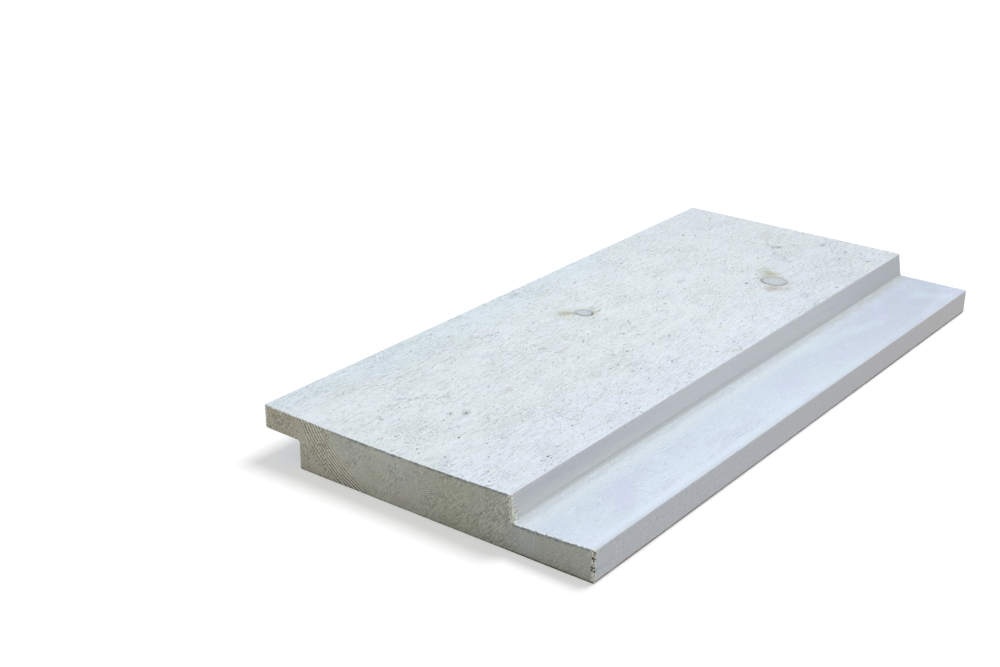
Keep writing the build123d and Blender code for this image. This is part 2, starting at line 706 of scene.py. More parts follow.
class NodeSheet:
    """A node tree being drawn up, with a short way to add each kind of node."""

    place: Socket

    def __init__(self, tree: bpy.types.NodeTree) -> None:
        """Start with an empty tree."""
        self.tree = tree
        tree.nodes.clear()

    @cached_property
    def here(self) -> bpy.types.NodeOutputs:
        """How far a place lies across, along and up the board, in millimetres."""
        inputs = {0: self.place, 3: 1 / MM}
        return self.parts(self.node("VectorMath", inputs, operation="SCALE").outputs[0])

    def put(self, socket: Socket, value: object) -> None:
        """Link a socket to another, or set its value.

        Args:
            socket: The socket that takes the value.
            value: Another socket, a plain value, or None to leave the default.
        """
        if isinstance(value, bpy.types.NodeSocket):
            self.tree.links.new(value, socket)
        elif value is not None:
            socket.default_value = value

    def node(
        self, kind: str, inputs: dict[str | int, object] | None = None, **settings: object
    ) -> bpy.types.Node:
        """Add a node.

        Args:
            kind: The node's type, without its ShaderNode prefix.
            inputs: A value or a socket for each named or numbered input.
            settings: The node's own properties.

        Returns:
            The new node.
        """
        node = self.tree.nodes.new(kind if kind.startswith("NodeGroup") else "ShaderNode" + kind)
        for name, value in settings.items():
            setattr(node, name, value)
        for key, value in (inputs or {}).items():
            self.put(node.inputs[key], value)
        return node

    def math(self, operation: str, first: object, second: object = None, third: object = None) -> Socket:
        """Add a math node and return its result."""
        inputs = {0: first, 1: second, 2: third}
        return self.node("Math", inputs, operation=operation).outputs[0]

    def plus(self, first: object, second: object) -> Socket:
        """Add two values."""
        return self.math("ADD", first, second)

    def minus(self, first: object, second: object) -> Socket:
        """Take the second value from the first."""
        return self.math("SUBTRACT", first, second)

    def scaled(self, value: object, amount: object, base: object) -> Socket:
        """Multiply a value by an amount and add it to a base value."""
        return self.math("MULTIPLY_ADD", value, amount, base)

    def over(self, value: object, limit: float) -> Socket:
        """Return 1 where a value is over its limit, and otherwise 0."""
        return self.math("GREATER_THAN", value, limit)

    def under(self, value: object, limit: float) -> Socket:
        """Return 1 where a value is under its limit, and otherwise 0."""
        return self.math("LESS_THAN", value, limit)

    def times(self, *values: object) -> Socket:
        """Multiply several values."""
        return reduce(lambda result, value: self.math("MULTIPLY", result, value), values)

    def most(self, *values: object) -> Socket:
        """Return the largest of several values."""
        return reduce(lambda result, value: self.math("MAXIMUM", result, value), values)

    def ramp(
        self, value: object, low: object, high: object, start: float = 0.0, stop: float = 1.0
    ) -> Socket:
        """Map a value smoothly from one range to another and return the result."""
        inputs = {"Value": value, "From Min": low, "From Max": high, "To Min": start, "To Max": stop}
        return self.node("MapRange", inputs, interpolation_type="SMOOTHSTEP").outputs[0]

    def mix(self, share: object, first: object, second: object) -> Socket:
        """Mix two colours and return the result."""
        return self.node("Mix", {0: share, 6: first, 7: second}, data_type="RGBA").outputs[2]

    def parts(self, vector: Socket) -> bpy.types.NodeOutputs:
        """Return the X, Y and Z of a vector."""
        return self.node("SeparateXYZ", {0: vector}).outputs

    def laid(self, middle: object = None, turn: object = None, size: object = None) -> Socket:
        """Return a place as a pattern sees it that is laid down with its own middle, turn and size."""
        inputs = {"Vector": self.place, "Location": middle, "Rotation": turn, "Scale": size}
        return self.node("Mapping", inputs, vector_type="TEXTURE").outputs[0]

    def oval(self, middle: object, turn: object, size: object) -> tuple[Socket, bpy.types.NodeOutputs]:
        """Measure from the middle of an oval that lies flat in its own plane.

        Args:
            middle: The oval's middle.
            turn: How the oval is turned, in radians.
            size: The oval's reach each way.

        Returns:
            The distance from the middle, 1 at the rim, and the place's parts in the oval's frame.
        """
        local = self.parts(self.laid(middle, turn, size))
        flat = self.node("CombineXYZ", {0: local["X"], 1: local["Y"], 2: 0.0}).outputs[0]
        return self.node("VectorMath", {0: flat}, operation="LENGTH").outputs["Value"], local

    def noise_at(self, vector: Socket, detail: float = 2.0, roughness: float = 0.5) -> Socket:
        """Add soft noise at coordinates of its own and return its value."""
        inputs = {"Vector": vector, "Scale": 1.0, "Detail": detail, "Roughness": roughness}
        return self.node("TexNoise", inputs).outputs["Fac"]

    def noise(
        self, size: Triple, turn: float = 0.0, tilt: float = 0.0, detail: float = 2.0, roughness: float = 0.5
    ) -> Socket:
        """Lay soft noise over the board.

        Args:
            size: The size of its features in millimetres along X, Y and Z.
            turn: Degrees by which they are turned about Z.
            tilt: Degrees by which they are turned about Y.
            detail: How many finer layers it has.
            roughness: How strong the finer layers are.

        Returns:
            The noise's value, around 0.5.
        """
        turned = (0, math.radians(tilt), math.radians(turn))
        return self.noise_at(self.laid(None, turned, [part * MM for part in size]), detail, roughness)

    def around(self, value: object, amount: float, base: object = 0.0) -> Socket:
        """Add a noise's swing about its middle, times an amount, to a base value."""
        return self.scaled(self.minus(value, 0.5), amount, base)

    def group(self, tree: bpy.types.NodeTree, **inputs: object) -> bpy.types.NodeOutputs:
        """Place a shared effect on the board.

        Args:
            tree: The effect's node group.
            inputs: The effect's own values.

        Returns:
            What the effect gives.
        """
        node = self.node("Group", {}, node_tree=tree)
        self.put(node.inputs["Vector"], self.place)
        for name, value in inputs.items():
            self.put(node.inputs[name.capitalize()], value)
        return node.outputs


class Effect(NodeSheet):
    """A surface effect that several finishes share, as a node group."""

    def __init__(self, name: str, inputs: dict[str, object], outputs: tuple[str, ...]) -> None:
        """Open a group.

        Args:
            name: The effect in plain words.
            inputs: Each input's name and default, apart from the place; a triple makes a vector.
            outputs: The names of the masks and heights that it gives.
        """
        super().__init__(bpy.data.node_groups.new(name, "ShaderNodeTree"))
        for label, default in {"Vector": ORIGIN, **inputs}.items():
            kind = "NodeSocketVector" if isinstance(default, tuple) else "NodeSocketFloat"
            socket = self.tree.interface.new_socket(label, in_out="INPUT", socket_type=kind)
            socket.default_value = default
        for label in outputs:
            self.tree.interface.new_socket(label, in_out="OUTPUT", socket_type="NodeSocketFloat")
        self.given = self.node("NodeGroupInput").outputs
        self.result = self.node("NodeGroupOutput")
        self.place = self.given["Vector"]

    def give(self, **values: Socket) -> bpy.types.NodeTree:
        """Fill the group's outputs.

        Args:
            values: The value of each output, by its name.

        Returns:
            The group's tree.
        """
        for name, value in values.items():
            self.put(self.result.inputs[name.capitalize()], value)
        return self.tree


def saw_grain() -> bpy.types.NodeTree:
    """Draw fine saw grooves and streaks that run along the grain, pitched in millimetres.

    Returns:
        The effect's node group.
    """
    sheet = Effect("saw grain", {"Pitch": 1.12, "Wander": 0.9}, ("Groove", "Streak", "Height"))
    sway = sheet.minus(sheet.noise((14, 80, 14)), 0.5)
    across = sheet.scaled(sway, sheet.given["Wander"], sheet.here["X"])
    turns = sheet.times(sheet.math("DIVIDE", across, sheet.given["Pitch"]), 2 * math.pi)
    wave = sheet.math("POWER", sheet.scaled(sheet.math("SINE", turns), 0.5, 0.5), 5.0)
    broken = sheet.ramp(sheet.noise((0.9, 9, 0.9)), 0.42, 0.56)
    patch = sheet.ramp(sheet.noise((17, 30, 17), detail=1.0), 0.38, 0.66)
    groove = sheet.times(wave, broken, patch)
    streak = sheet.noise((0.36, 8, 0.36))
    return sheet.give(groove=groove, streak=streak, height=sheet.scaled(groove, -0.7, streak))


def torn_fibres() -> bpy.types.NodeTree:
    """Scatter short torn fibres that lie along one direction.

    Returns:
        The effect's node group.
    """
    inputs = {"Turn": ORIGIN, "Size": (0.0005, 0.0015, 0.0005), "Crowd": 0.68}
    sheet = Effect("torn fibres", inputs, ("Fibre",))
    patch = sheet.noise((12, 16, 12), detail=1.0)
    fibres = sheet.noise_at(sheet.laid(None, sheet.given["Turn"], sheet.given["Size"]), 1.0)
    crowd = sheet.given["Crowd"]
    return sheet.give(fibre=sheet.ramp(sheet.around(patch, 0.2, fibres), crowd, sheet.plus(crowd, 0.06)))


def stain_spot() -> bpy.types.NodeTree:
    """Draw one soft stain with a fibrous rim and streaks along the grain.

    Returns:
        The effect's node group.
    """
    inputs = {"Middle": ORIGIN, "Turn": ORIGIN, "Reach": (0.003, 0.003, 1.0), "Strength": 1.0}
    sheet = Effect("stain", inputs, ("Stain",))
    away, _ = sheet.oval(sheet.given["Middle"], sheet.given["Turn"], sheet.given["Reach"])
    fuzz = sheet.noise((0.7, 1.8, 0.7), -25, detail=3.0, roughness=0.7)
    spot = sheet.ramp(sheet.around(fuzz, 2.4, away), 1.25, 0.2)
    uneven = sheet.ramp(sheet.noise((0.55, 0.8, 0.55), detail=1.0), 0.38, 0.58, 0.4, 1.15)
    return sheet.give(stain=sheet.times(spot, uneven, sheet.given["Strength"]))


def growth_rings() -> bpy.types.NodeTree:
    """Draw one run of growth rings on a sawn end, with every length in metres.

    Returns:
        The effect's node group.
    """
    inputs = {"Pith": ORIGIN, "Flatten": 0.9, "First": 0.04, "Spacing": 0.001, "Widening": 0.01}
    inputs |= {"Inner": 0.04, "Outer": 0.05, "Left": -0.05, "Right": 0.05}
    sheet = Effect("growth rings", inputs, ("Ring", "Band"))
    here, pith = sheet.parts(sheet.place), sheet.parts(sheet.given["Pith"])
    across = sheet.times(sheet.minus(here["X"], pith["X"]), sheet.given["Flatten"])
    up = sheet.minus(here["Z"], pith["Z"])
    square = sheet.scaled(across, across, sheet.times(up, up))
    radius = sheet.around(sheet.noise((4, 4, 4), detail=1.0), 0.35 * MM, sheet.math("SQRT", square))
    out = sheet.minus(radius, sheet.given["First"])
    rate = sheet.math("DIVIDE", sheet.given["Widening"], sheet.given["Spacing"])
    grown = sheet.math("LOGARITHM", sheet.scaled(out, rate, 1.0), math.e)
    count = sheet.math("DIVIDE", grown, sheet.given["Widening"])
    wave = sheet.math("COSINE", sheet.times(count, 2 * math.pi))

    def fade(value: Socket, limit: str, reach: float) -> Socket:
        """Fade in past one of the run's limits, or out where the reach is negative."""
        edge = sheet.given[limit]
        return sheet.ramp(value, sheet.minus(edge, reach), sheet.plus(edge, reach))

    band = sheet.times(
        fade(radius, "Inner", 0.5 * MM), fade(radius, "Outer", -0.5 * MM),
        fade(here["X"], "Left", 3 * MM), fade(here["X"], "Right", -3 * MM),
    )
    return sheet.give(ring=sheet.scaled(wave, 0.5, 0.5), band=band)


def end_rim(board: CladdingBoard) -> bpy.types.NodeTree:
    """Draw what rims a sawn end: shade under its top arris, paint round its sides, a dark foot.

    Args:
        board: The board, for its section and its cup.

    Returns:
        The effect's node group.
    """
    s = board.section
    face, tongue, tip, lip = s.high.z / MM, s.tongue_thickness / MM, s.high.x / MM, s.low.x / MM
    shoulder_top = s.shoulder_top / MM
    sheet = Effect("end rim", {}, ("Shade", "Rim", "Foot"))
    x, y, z = sheet.here
    off = sheet.math("DIVIDE", sheet.minus(x, board.cup_middle / MM), board.cup_reach / MM)
    hollow = sheet.times(sheet.minus(sheet.times(off, off), 1.0), board.cup / MM)
    top = sheet.scaled(sheet.over(x, shoulder_top + 1), tongue - face, face)
    below = sheet.minus(sheet.scaled(hollow, sheet.under(y, 0.0), top), z)
    rag = sheet.noise((1.0, 1.0, 1.4))
    crumbs = sheet.noise((0.55, 0.55, 0.6), roughness=0.6)
    broken = sheet.ramp(sheet.noise((1.6, 1, 4)), 0.36, 0.56, 0.25, 1.0)
    line = sheet.ramp(sheet.around(rag, 1.5, below), 1.7, 0.5)
    shade = sheet.times(line, broken, sheet.ramp(x, -52, -26), 0.75)
    over = sheet.ramp(sheet.around(rag, 0.5, below), 0.3, 0.1)
    lip_reach = sheet.ramp(x, -66, -48, 0.75, 0.0)
    lip_over = sheet.ramp(sheet.minus(sheet.around(crumbs, 0.9, below), lip_reach), 0.2, 0.0)
    shoulder = sheet.scaled(sheet.minus(face, z), s.shoulder_lean, shoulder_top)
    beside = sheet.math("ABSOLUTE", sheet.minus(shoulder, x))
    out_of_reach = 1000.0  # keeps the shoulder's paint off the end of the tongue
    away = sheet.scaled(sheet.under(z, tongue), out_of_reach, beside)
    reach = sheet.ramp(z, face, tongue, 1.1, 1.35)
    away = sheet.minus(sheet.around(crumbs, 2.6, away), reach)
    at_shoulder = sheet.ramp(away, 0.35, -0.25, 0.0, 0.95)
    at_edge = sheet.ramp(sheet.around(crumbs, 2.6, sheet.minus(tip, x)), 1.5, 1.0, 0.0, 0.95)
    at_lip = sheet.ramp(sheet.around(crumbs, 1.2, sheet.minus(x, lip)), 1.0, 0.5, 0.0, 0.95)
    foot = sheet.ramp(sheet.around(rag, 0.9, z), 0.8, 0.35)
    foot = sheet.times(foot, sheet.ramp(x, 28, 44, 0.3, 0.9))
    return sheet.give(shade=shade, rim=sheet.most(at_shoulder, at_edge, at_lip, over, lip_over), foot=foot)


class Coat(NodeSheet):
    """One finish being laid up: its material, its shader and its colour so far."""

    def __init__(self, name: str) -> None:
        """Start a material on the board's own coordinates.

        Args:
            name: The finish in plain words.
        """
        self.material = bpy.data.materials.new(name)
        self.material.use_nodes = True
        super().__init__(self.material.node_tree)
        self.shader = self.node("BsdfPrincipled")
        self.put(self.node("OutputMaterial").inputs["Surface"], self.shader.outputs[0])
        self.place = self.node("TexCoord").outputs["Object"]
        self.colour: object = None

    def cover(self, share: object, coat: object) -> None:
        """Lay another colour over a share of the colour so far."""
        self.colour = self.mix(share, self.colour, coat)

    def tint(self, share: object, red: int, green: int, blue: int) -> None:
        """Lay a paint chip's colour over a share of the colour so far."""
        self.cover(share, paint(red, green, blue))

    def tone(self, value: object, share: object, *tones: tuple[float, ...]) -> None:
        """Tint the highs and lows of a pattern.

        Args:
            value: The pattern's value.
            share: How much of the pattern shows.
            tones: For each tint, the value where it starts and where it is full, its strength
                and its red, green and blue.
        """
        for low, high, strength, *chip in tones:
            self.tint(self.times(self.ramp(value, low, high, 0.0, strength), share), *chip)

    def finish(
        self, height: Socket, depth: float, roughness: object, shine: float = 0.5
    ) -> bpy.types.Material:
        """Set the shader up.

        Args:
            height: The height of the finish's own fine relief.
            depth: How deep that relief is, in metres.
            roughness: The shader's roughness.
            shine: The shader's specular level.

        Returns:
            The finished material.
        """
        bump = self.node("Bump", {"Height": height, "Distance": depth, "Strength": 1.0})
        values = {"Base Color": self.colour, "Roughness": roughness, "Specular IOR Level": shine}
        for name, value in {**values, "Normal": bump.outputs[0]}.items():
            self.put(self.shader.inputs[name], value)
        return self.material


class Tint(Enum):
    """The colours that knots, resin and dirt leave in the primer and on the ends."""

    OLIVE = paint(176, 175, 140)
    BROWN = paint(180, 168, 156)
    GREY = paint(150, 154, 146)
    GREEN = paint(178, 184, 164)
    BLUE = paint(158, 170, 184)
    CREAM = paint(234, 229, 216)
    DARK = paint(112, 112, 104)
    COOL = paint(200, 206, 208)
    PINK = paint(196, 182, 170)
    MOSS = paint(192, 196, 162)


@dataclass(frozen=True)
class Stain:
    """A stain or dirt mark, placed from the lip's edge in millimetres.

    On the weather face y is measured from the front end, and on a sawn end it is the height
    above the board's back.
    """

    x: float
    y: float
    wide: float
    long: float
    turn: float = 0.0
    strength: float = 0.5
    tint: Tint = Tint.OLIVE
    on_end: bool = False

    @property
    def middle(self) -> Triple:
        """The mark's middle in the board's own frame.

        Returns:
            Its place across, along and up.
        """
        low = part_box(NODE)[0]
        across = low.x + self.x * MM
        return (across, 0.0, self.y * MM) if self.on_end else (across, low.y + self.y * MM, 0.0)

    @property
    def turned(self) -> Triple:
        """How the mark is turned: about Z on the face, or stood up on an end."""
        return (math.pi / 2, 0.0, 0.0) if self.on_end else (0.0, 0.0, math.radians(self.turn))

    @property
    def reach(self) -> Triple:
        """How far the mark spreads each way."""
        return self.wide * MM, self.long * MM, 1.0


FACE_STAINS = (
    Stain(33.4, 142.4, 3.0, 3.0, 20, 0.85),
    Stain(31.4, 141.0, 1.6, 4.0, 25, 0.6, Tint.GREEN),
    Stain(34.8, 144.2, 2.2, 1.4, 0, 0.8, Tint.GREY),
    Stain(36.0, 139.9, 1.6, 2.2, 10, 0.6, Tint.CREAM),
    Stain(35.8, 145.6, 1.2, 1.2, 0, 0.55, Tint.BROWN),
    Stain(39.4, 153.8, 2.4, 4.0, 10, 0.4, Tint.GREEN),
    Stain(41.8, 151.0, 1.7, 1.8, 0, 0.6, Tint.OLIVE),
    Stain(42.2, 153.8, 0.7, 1.7, 12, 0.75, Tint.GREY),
    Stain(44.8, 148.2, 1.8, 2.0, 0, 0.6, Tint.CREAM),
    Stain(40.2, 155.2, 0.9, 1.6, 0, 0.5, Tint.CREAM),
    Stain(45.0, 145.8, 0.7, 1.8, 20, 0.5, Tint.GREY),
    Stain(50.0, 148.0, 0.7, 1.5, 20, 0.55, Tint.GREEN),
    Stain(38.6, 153.0, 5.0, 3.0, 0, 0.15, Tint.GREY),
    Stain(77.7, 237.6, 4.6, 4.4, 15, 0.9),
    Stain(74.2, 240.4, 2.6, 5.4, 35, 0.6, Tint.GREEN),
    Stain(71.2, 238.6, 1.8, 3.6, 30, 0.5, Tint.GREEN),
    Stain(78.4, 234.4, 1.2, 2.4, 10, 0.5, Tint.BROWN),
    Stain(87.6, 223.8, 4.2, 4.8, 20, 0.75, Tint.BROWN),
    Stain(85.4, 221.4, 3.2, 3.4, 20, 0.5, Tint.BROWN),
    Stain(92.2, 226.4, 2.2, 3.4, 20, 0.6, Tint.GREEN),
    Stain(101.8, 223.6, 3.4, 4.4, 10, 0.35, Tint.BLUE),
    Stain(75.0, 221.2, 0.8, 1.3, 20, 0.85, Tint.GREY),
    Stain(87.6, 218.6, 0.9, 1.3, 0, 0.6, Tint.GREEN),
    Stain(60.8, 41.0, 1.8, 3.6, 20, 0.6, Tint.GREY),
    Stain(56.8, 37.0, 1.0, 2.4, 20, 0.5, Tint.GREY),
    Stain(19.0, 97.5, 1.7, 2.6, 10, 0.4),
    Stain(60.3, 65.7, 2.2, 5.5, 0, 0.3, Tint.BROWN),
    Stain(54.7, 110.0, 1.3, 6.0, 0, 0.4, Tint.BROWN),
    Stain(79.3, 97.7, 2.0, 4.0, 0, 0.25),
    Stain(62.5, 272.6, 2.6, 3.6, -50, 0.75, Tint.GREY),
    Stain(73.7, 4.9, 1.8, 2.6, 0, 0.3, Tint.GREY),
    Stain(50.7, 205.7, 2.0, 3.2, 0, 0.35, Tint.GREY),
    Stain(71.0, 143.0, 0.8, 5.0, -45, 0.35, Tint.BLUE),
    Stain(77.8, 288.6, 1.8, 2.8, 10, 0.8, Tint.BLUE),
    Stain(90.6, 286.1, 1.2, 1.4, 0, 0.7, Tint.BLUE),
    Stain(76.1, 258.5, 2.2, 3.0, 0, 0.4, Tint.BLUE),
    Stain(50.0, 284.0, 4.0, 7.0, 20, 0.25, Tint.BROWN),
)

END_STAINS = (
    Stain(41.5, 15.5, 9.0, 5.5, 0, 0.5, Tint.COOL, True),
    Stain(63.5, 14.0, 9.0, 6.5, 0, 0.6, Tint.COOL, True),
    Stain(117.5, 5.0, 6.5, 6.0, 0, 0.65, Tint.COOL, True),
    Stain(10.0, 17.0, 6.5, 4.0, 0, 0.5, Tint.PINK, True),
    Stain(64.0, 3.0, 7.0, 2.4, 0, 0.4, Tint.PINK, True),
    Stain(61.3, 20.0, 1.8, 1.1, 0, 0.6, Tint.PINK, True),
    Stain(77.5, 19.8, 1.8, 1.2, 0, 0.6, Tint.PINK, True),
    Stain(25.5, 10.0, 4.0, 4.0, 0, 0.5, Tint.MOSS, True),
    Stain(54.0, 8.5, 4.5, 3.0, 0, 0.5, Tint.MOSS, True),
    Stain(50.5, 3.0, 4.5, 2.4, 0, 0.5, Tint.MOSS, True),
    Stain(91.0, 3.5, 7.0, 3.5, 0, 0.45, Tint.MOSS, True),
    Stain(21.2, 5.4, 0.6, 0.5, 0, 0.8, Tint.DARK, True),
    Stain(28.6, 6.7, 0.6, 0.6, 0, 0.8, Tint.DARK, True),
    Stain(33.5, 9.3, 0.5, 0.5, 0, 0.7, Tint.DARK, True),
    Stain(43.6, 10.6, 0.5, 0.5, 0, 0.8, Tint.DARK, True),
)


@dataclass(frozen=True)
class Nap:
    """One direction in which the primed fibres of the weather face lie."""

    turn: float
    wide: float
    long: float
    crowd: float
    strength: float
    tint: Colour
    depth: float


NAPS = (
    Nap(16, 0.42, 2.0, 0.66, 0.62, paint(160, 170, 175), -0.5),
    Nap(-24, 0.45, 1.5, 0.68, 0.55, paint(160, 168, 172), -0.5),
    Nap(2, 0.36, 4.4, 0.665, 0.64, paint(166, 174, 179), -0.4),
    Nap(6, 0.42, 2.2, 0.67, 0.5, paint(242, 250, 255), 0.5),
)


@dataclass
class Finishes:
    """Every finish of the board, with the effects that they share."""

    board: CladdingBoard
    face_bump: float = 0.1 * MM
    planed_bump: float = 0.05 * MM
    end_bump: float = 0.2 * MM
    loose_bump: float = 0.05 * MM
    # Painted shade for the tongue's root and the shoulder's fillet: the first tint by the front end, the
    # second by the far end.
    root_shade_tints: tuple[Colour, Colour] = (paint(198, 205, 207), paint(181, 186, 190))

    def __post_init__(self) -> None:
        """Draw up the shared effects."""
        self.grain = saw_grain()
        self.fibres = torn_fibres()
        self.stain = stain_spot()
        self.rings = growth_rings()
        self.rim = end_rim(self.board)

    def add_stains(self, sheet: Coat, stains: tuple[Stain, ...]) -> None:
        """Lay stains over a coat.

        Args:
            sheet: The coat.
            stains: The stains, the lowest first.
        """
        for stain in stains:
            spot = sheet.group(
                self.stain, middle=stain.middle, turn=stain.turned, reach=stain.reach,
                strength=stain.strength,
            )
            sheet.cover(spot["Stain"], stain.tint.value)

    @staticmethod
    def face_ground(sheet: Coat) -> None:
        """Lay the weather face's broad colours: bluish white, greyer at the far end.

        Args:
            sheet: The face's coat.
        """
        x, y, _ = sheet.here
        across = sheet.around(sheet.noise((45, 110, 45)), 50.0, x)
        sheet.colour = sheet.mix(sheet.ramp(across, -50, -72), paint(223, 232, 235), paint(214, 226, 234))
        sheet.tint(sheet.ramp(across, 0, 36), 223, 231, 243)
        sheet.tint(sheet.ramp(y, 20, 145, 0.0, 0.8), 211, 218, 224)
        corner = sheet.times(sheet.ramp(across, 4, 46), sheet.ramp(y, -60, 110, 0.0, 0.42))
        sheet.tint(corner, 205, 213, 222)
        mottle = sheet.noise((6, 9, 6))
        sheet.tone(mottle, 1.0, (0.5, 0.64, 0.36, 214, 224, 220), (0.48, 0.36, 0.38, 222, 228, 241))

    def face(self) -> bpy.types.Material:
        """Finish the fine-sawn weather face under one coat of bluish white primer.

        Returns:
            The material.
        """
        sheet = Coat("sawn_primer")
        self.face_ground(sheet)
        patch = sheet.ramp(sheet.noise((8, 12, 8)), 0.38, 0.58, 0.3, 1.0)
        one_way = sheet.noise((0.48, 2.0, 0.48), 10, detail=1.0)
        other_way = sheet.noise((0.5, 1.3, 0.5), -24, detail=1.0)
        nap = sheet.times(sheet.plus(one_way, other_way), 0.5)
        sheet.tone(nap, patch, (0.51, 0.6, 0.28, 241, 249, 253), (0.49, 0.4, 0.28, 180, 190, 193))
        grain = sheet.group(self.grain)
        combed = sheet.ramp(sheet.here["Y"], 140, -10, 0.58, 0.62)
        sheet.tint(sheet.times(grain["Groove"], combed), 172, 182, 187)
        streak = grain["Streak"]
        sheet.tone(streak, combed, (0.42, 0.3, 1.0, 176, 186, 190), (0.56, 0.7, 0.6, 238, 247, 252))
        height = sheet.scaled(nap, 1.3, grain["Height"])
        for lie in NAPS:
            size = (lie.wide * MM, lie.long * MM, lie.wide * MM)
            turn = (0.0, 0.0, math.radians(lie.turn))
            fibre = sheet.group(self.fibres, turn=turn, size=size, crowd=lie.crowd)["Fibre"]
            sheet.cover(sheet.times(fibre, lie.strength), lie.tint)
            height = sheet.scaled(fibre, lie.depth, height)
        self.add_stains(sheet, FACE_STAINS)
        for knot in self.board.knots:
            height = self.knot_disc(sheet, knot, height)
        return sheet.finish(height, self.face_bump, sheet.ramp(streak, 0.2, 0.8, 0.9, 0.75), 0.25)

    @staticmethod
    def knot_disc(sheet: Coat, knot: Knot, height: Socket) -> Socket:
        """Paint one knot: a smooth pale disc with a dark crack along one side.

        Args:
            sheet: The face's coat.
            knot: The knot's place and size.
            height: The height so far.

        Returns:
            The new height.
        """
        size = (knot.radius * knot.oval, knot.radius / knot.oval, 1)
        away, local = sheet.oval((knot.x, knot.y, 0), (0, 0, knot.turn), size)
        away = sheet.around(sheet.noise((1.9, 1.9, 1.9)), 0.2, away)
        sheet.tint(sheet.ramp(away, 1.7, 1.05, 0.0, 0.5), 196, 200, 196)
        disc = sheet.ramp(away, 1.04, 0.9)
        cloud = sheet.around(sheet.noise((2, 2, 2)), 0.8, away)
        rim_tint = paint(*(part - 9 for part in knot.tint))
        heartwood = sheet.mix(sheet.ramp(cloud, 0.25, 0.95), paint(*knot.tint), rim_tint)
        sheet.cover(sheet.times(disc, 0.9), heartwood)
        reach = 0.72 * MM / knot.radius
        rim = sheet.times(sheet.ramp(away, 1.0 - 1.5 * reach, 1.0), sheet.ramp(away, 1.0 + reach, 1.0))
        lean = sheet.scaled(local["X"], knot.crack_along, sheet.times(local["Y"], knot.crack_over))
        broken = sheet.ramp(sheet.noise((0.9, 0.9, 0.9)), 0.3, 0.55, 0.5, 1.0)
        sheet.tint(sheet.times(rim, sheet.ramp(lean, -0.5, 0.5, 0.28, 1.0), broken), 122, 121, 112)
        return sheet.times(height, sheet.scaled(disc, -0.8, 1.0))

    def tongue_root(self, sheet: Coat, far: Socket) -> None:
        """Shade the tongue towards the foot of the shoulder.

        Args:
            sheet: The planed coat.
            far: How far a place is towards the far end, from 0 to 1.
        """
        x, y, _ = sheet.here
        foot = self.board.section.shoulder_foot / MM
        root = sheet.around(sheet.noise((3, 8, 3)), 2.4, x)
        hint = sheet.times(sheet.ramp(root, foot + 1, foot + 4), sheet.ramp(root, foot + 10, foot + 5))
        sheet.tint(sheet.times(hint, sheet.ramp(y, 120, 20, 0.1, 0.7)), 213, 223, 228)
        on_tongue = sheet.over(x, foot - 4)
        soft = sheet.ramp(root, sheet.scaled(far, 2.0, foot + 4.8), foot + 0.6)
        sheet.tint(sheet.times(soft, sheet.scaled(far, 0.2, 0.62), on_tongue), 183, 188, 186)
        shade = sheet.times(sheet.ramp(root, foot + 3, foot + 0.8), sheet.scaled(far, 0.5, 0.25), on_tongue)
        corner = sheet.times(sheet.ramp(x, foot + 0.7, foot - 0.3), on_tongue)
        for share in (shade, corner):
            sheet.cover(share, sheet.mix(far, *self.root_shade_tints))

    def planed(self) -> bpy.types.Material:
        """Finish the planed tongue and lip under the same primer, smoother and bluer.

        Returns:
            The material.
        """
        sheet = Coat("planed_primer")
        x, y, _ = sheet.here
        far = sheet.ramp(y, -60, 150)
        sheet.colour = sheet.mix(sheet.ramp(x, 50, 70), paint(207, 219, 232), paint(216, 228, 242))
        sheet.tint(sheet.times(far, 0.9), 188, 197, 214)
        cloud = sheet.noise((9, 26, 9), 8, roughness=0.4)
        other = sheet.noise((14, 34, 14), -10, detail=1.0)
        sheet.tint(sheet.ramp(cloud, 0.5, 0.66, 0.0, 0.6), 204, 209, 231)
        sheet.tint(sheet.ramp(other, 0.48, 0.34, 0.0, 0.55), 205, 223, 230)
        self.tongue_root(sheet, far)
        dashes = sheet.noise((0.45, 4.5, 0.45), detail=1.5)
        blots = sheet.noise((0.9, 1.5, 0.9), 20, roughness=0.6)
        dash_patch = sheet.ramp(sheet.noise((5, 12, 5), detail=1.0), 0.46, 0.6)
        blot_patch = sheet.ramp(sheet.noise((6, 9, 6), 30, detail=1.0), 0.44, 0.6)
        calm = sheet.ramp(y, 60, -80, 0.3, 0.46)
        marks = (
            ((0.54, 0.64), (0.55, 0.66), (226, 236, 248)),
            ((0.46, 0.36), (0.45, 0.34), (182, 193, 206)),
        )
        for dash_range, blot_range, chip in marks:
            dash = sheet.times(sheet.ramp(dashes, *dash_range), dash_patch)
            blot = sheet.times(sheet.ramp(blots, *blot_range), blot_patch)
            sheet.tint(sheet.times(sheet.most(dash, blot), calm), *chip)
        fine = sheet.noise((0.7, 1.2, 0.7), roughness=0.6)
        sheet.tone(fine, calm, (0.53, 0.68, 0.4, 190, 200, 213), (0.47, 0.32, 0.4, 224, 234, 246))
        bead = sheet.times(sheet.ramp(sheet.around(blots, 3.0, x), 67, 69), sheet.ramp(x, 71.4, 70.4))
        sheet.tint(sheet.times(bead, sheet.ramp(y, 60, -120, 0.15, 0.7)), 221, 232, 247)
        sheet.tint(sheet.ramp(x, 70.6, 71.8, 0.0, 0.5), 203, 212, 224)
        sheet.tint(sheet.ramp(y, -148.4, -149.7, 0.0, 0.5), 232, 239, 246)
        height = sheet.scaled(sheet.times(sheet.minus(dashes, 0.5), dash_patch), 1.6, fine)
        height = sheet.scaled(sheet.times(sheet.minus(blots, 0.5), blot_patch), 2.2, height)
        return sheet.finish(height, self.planed_bump, sheet.ramp(blots, 0.3, 0.7, 0.66, 0.56), 0.3)

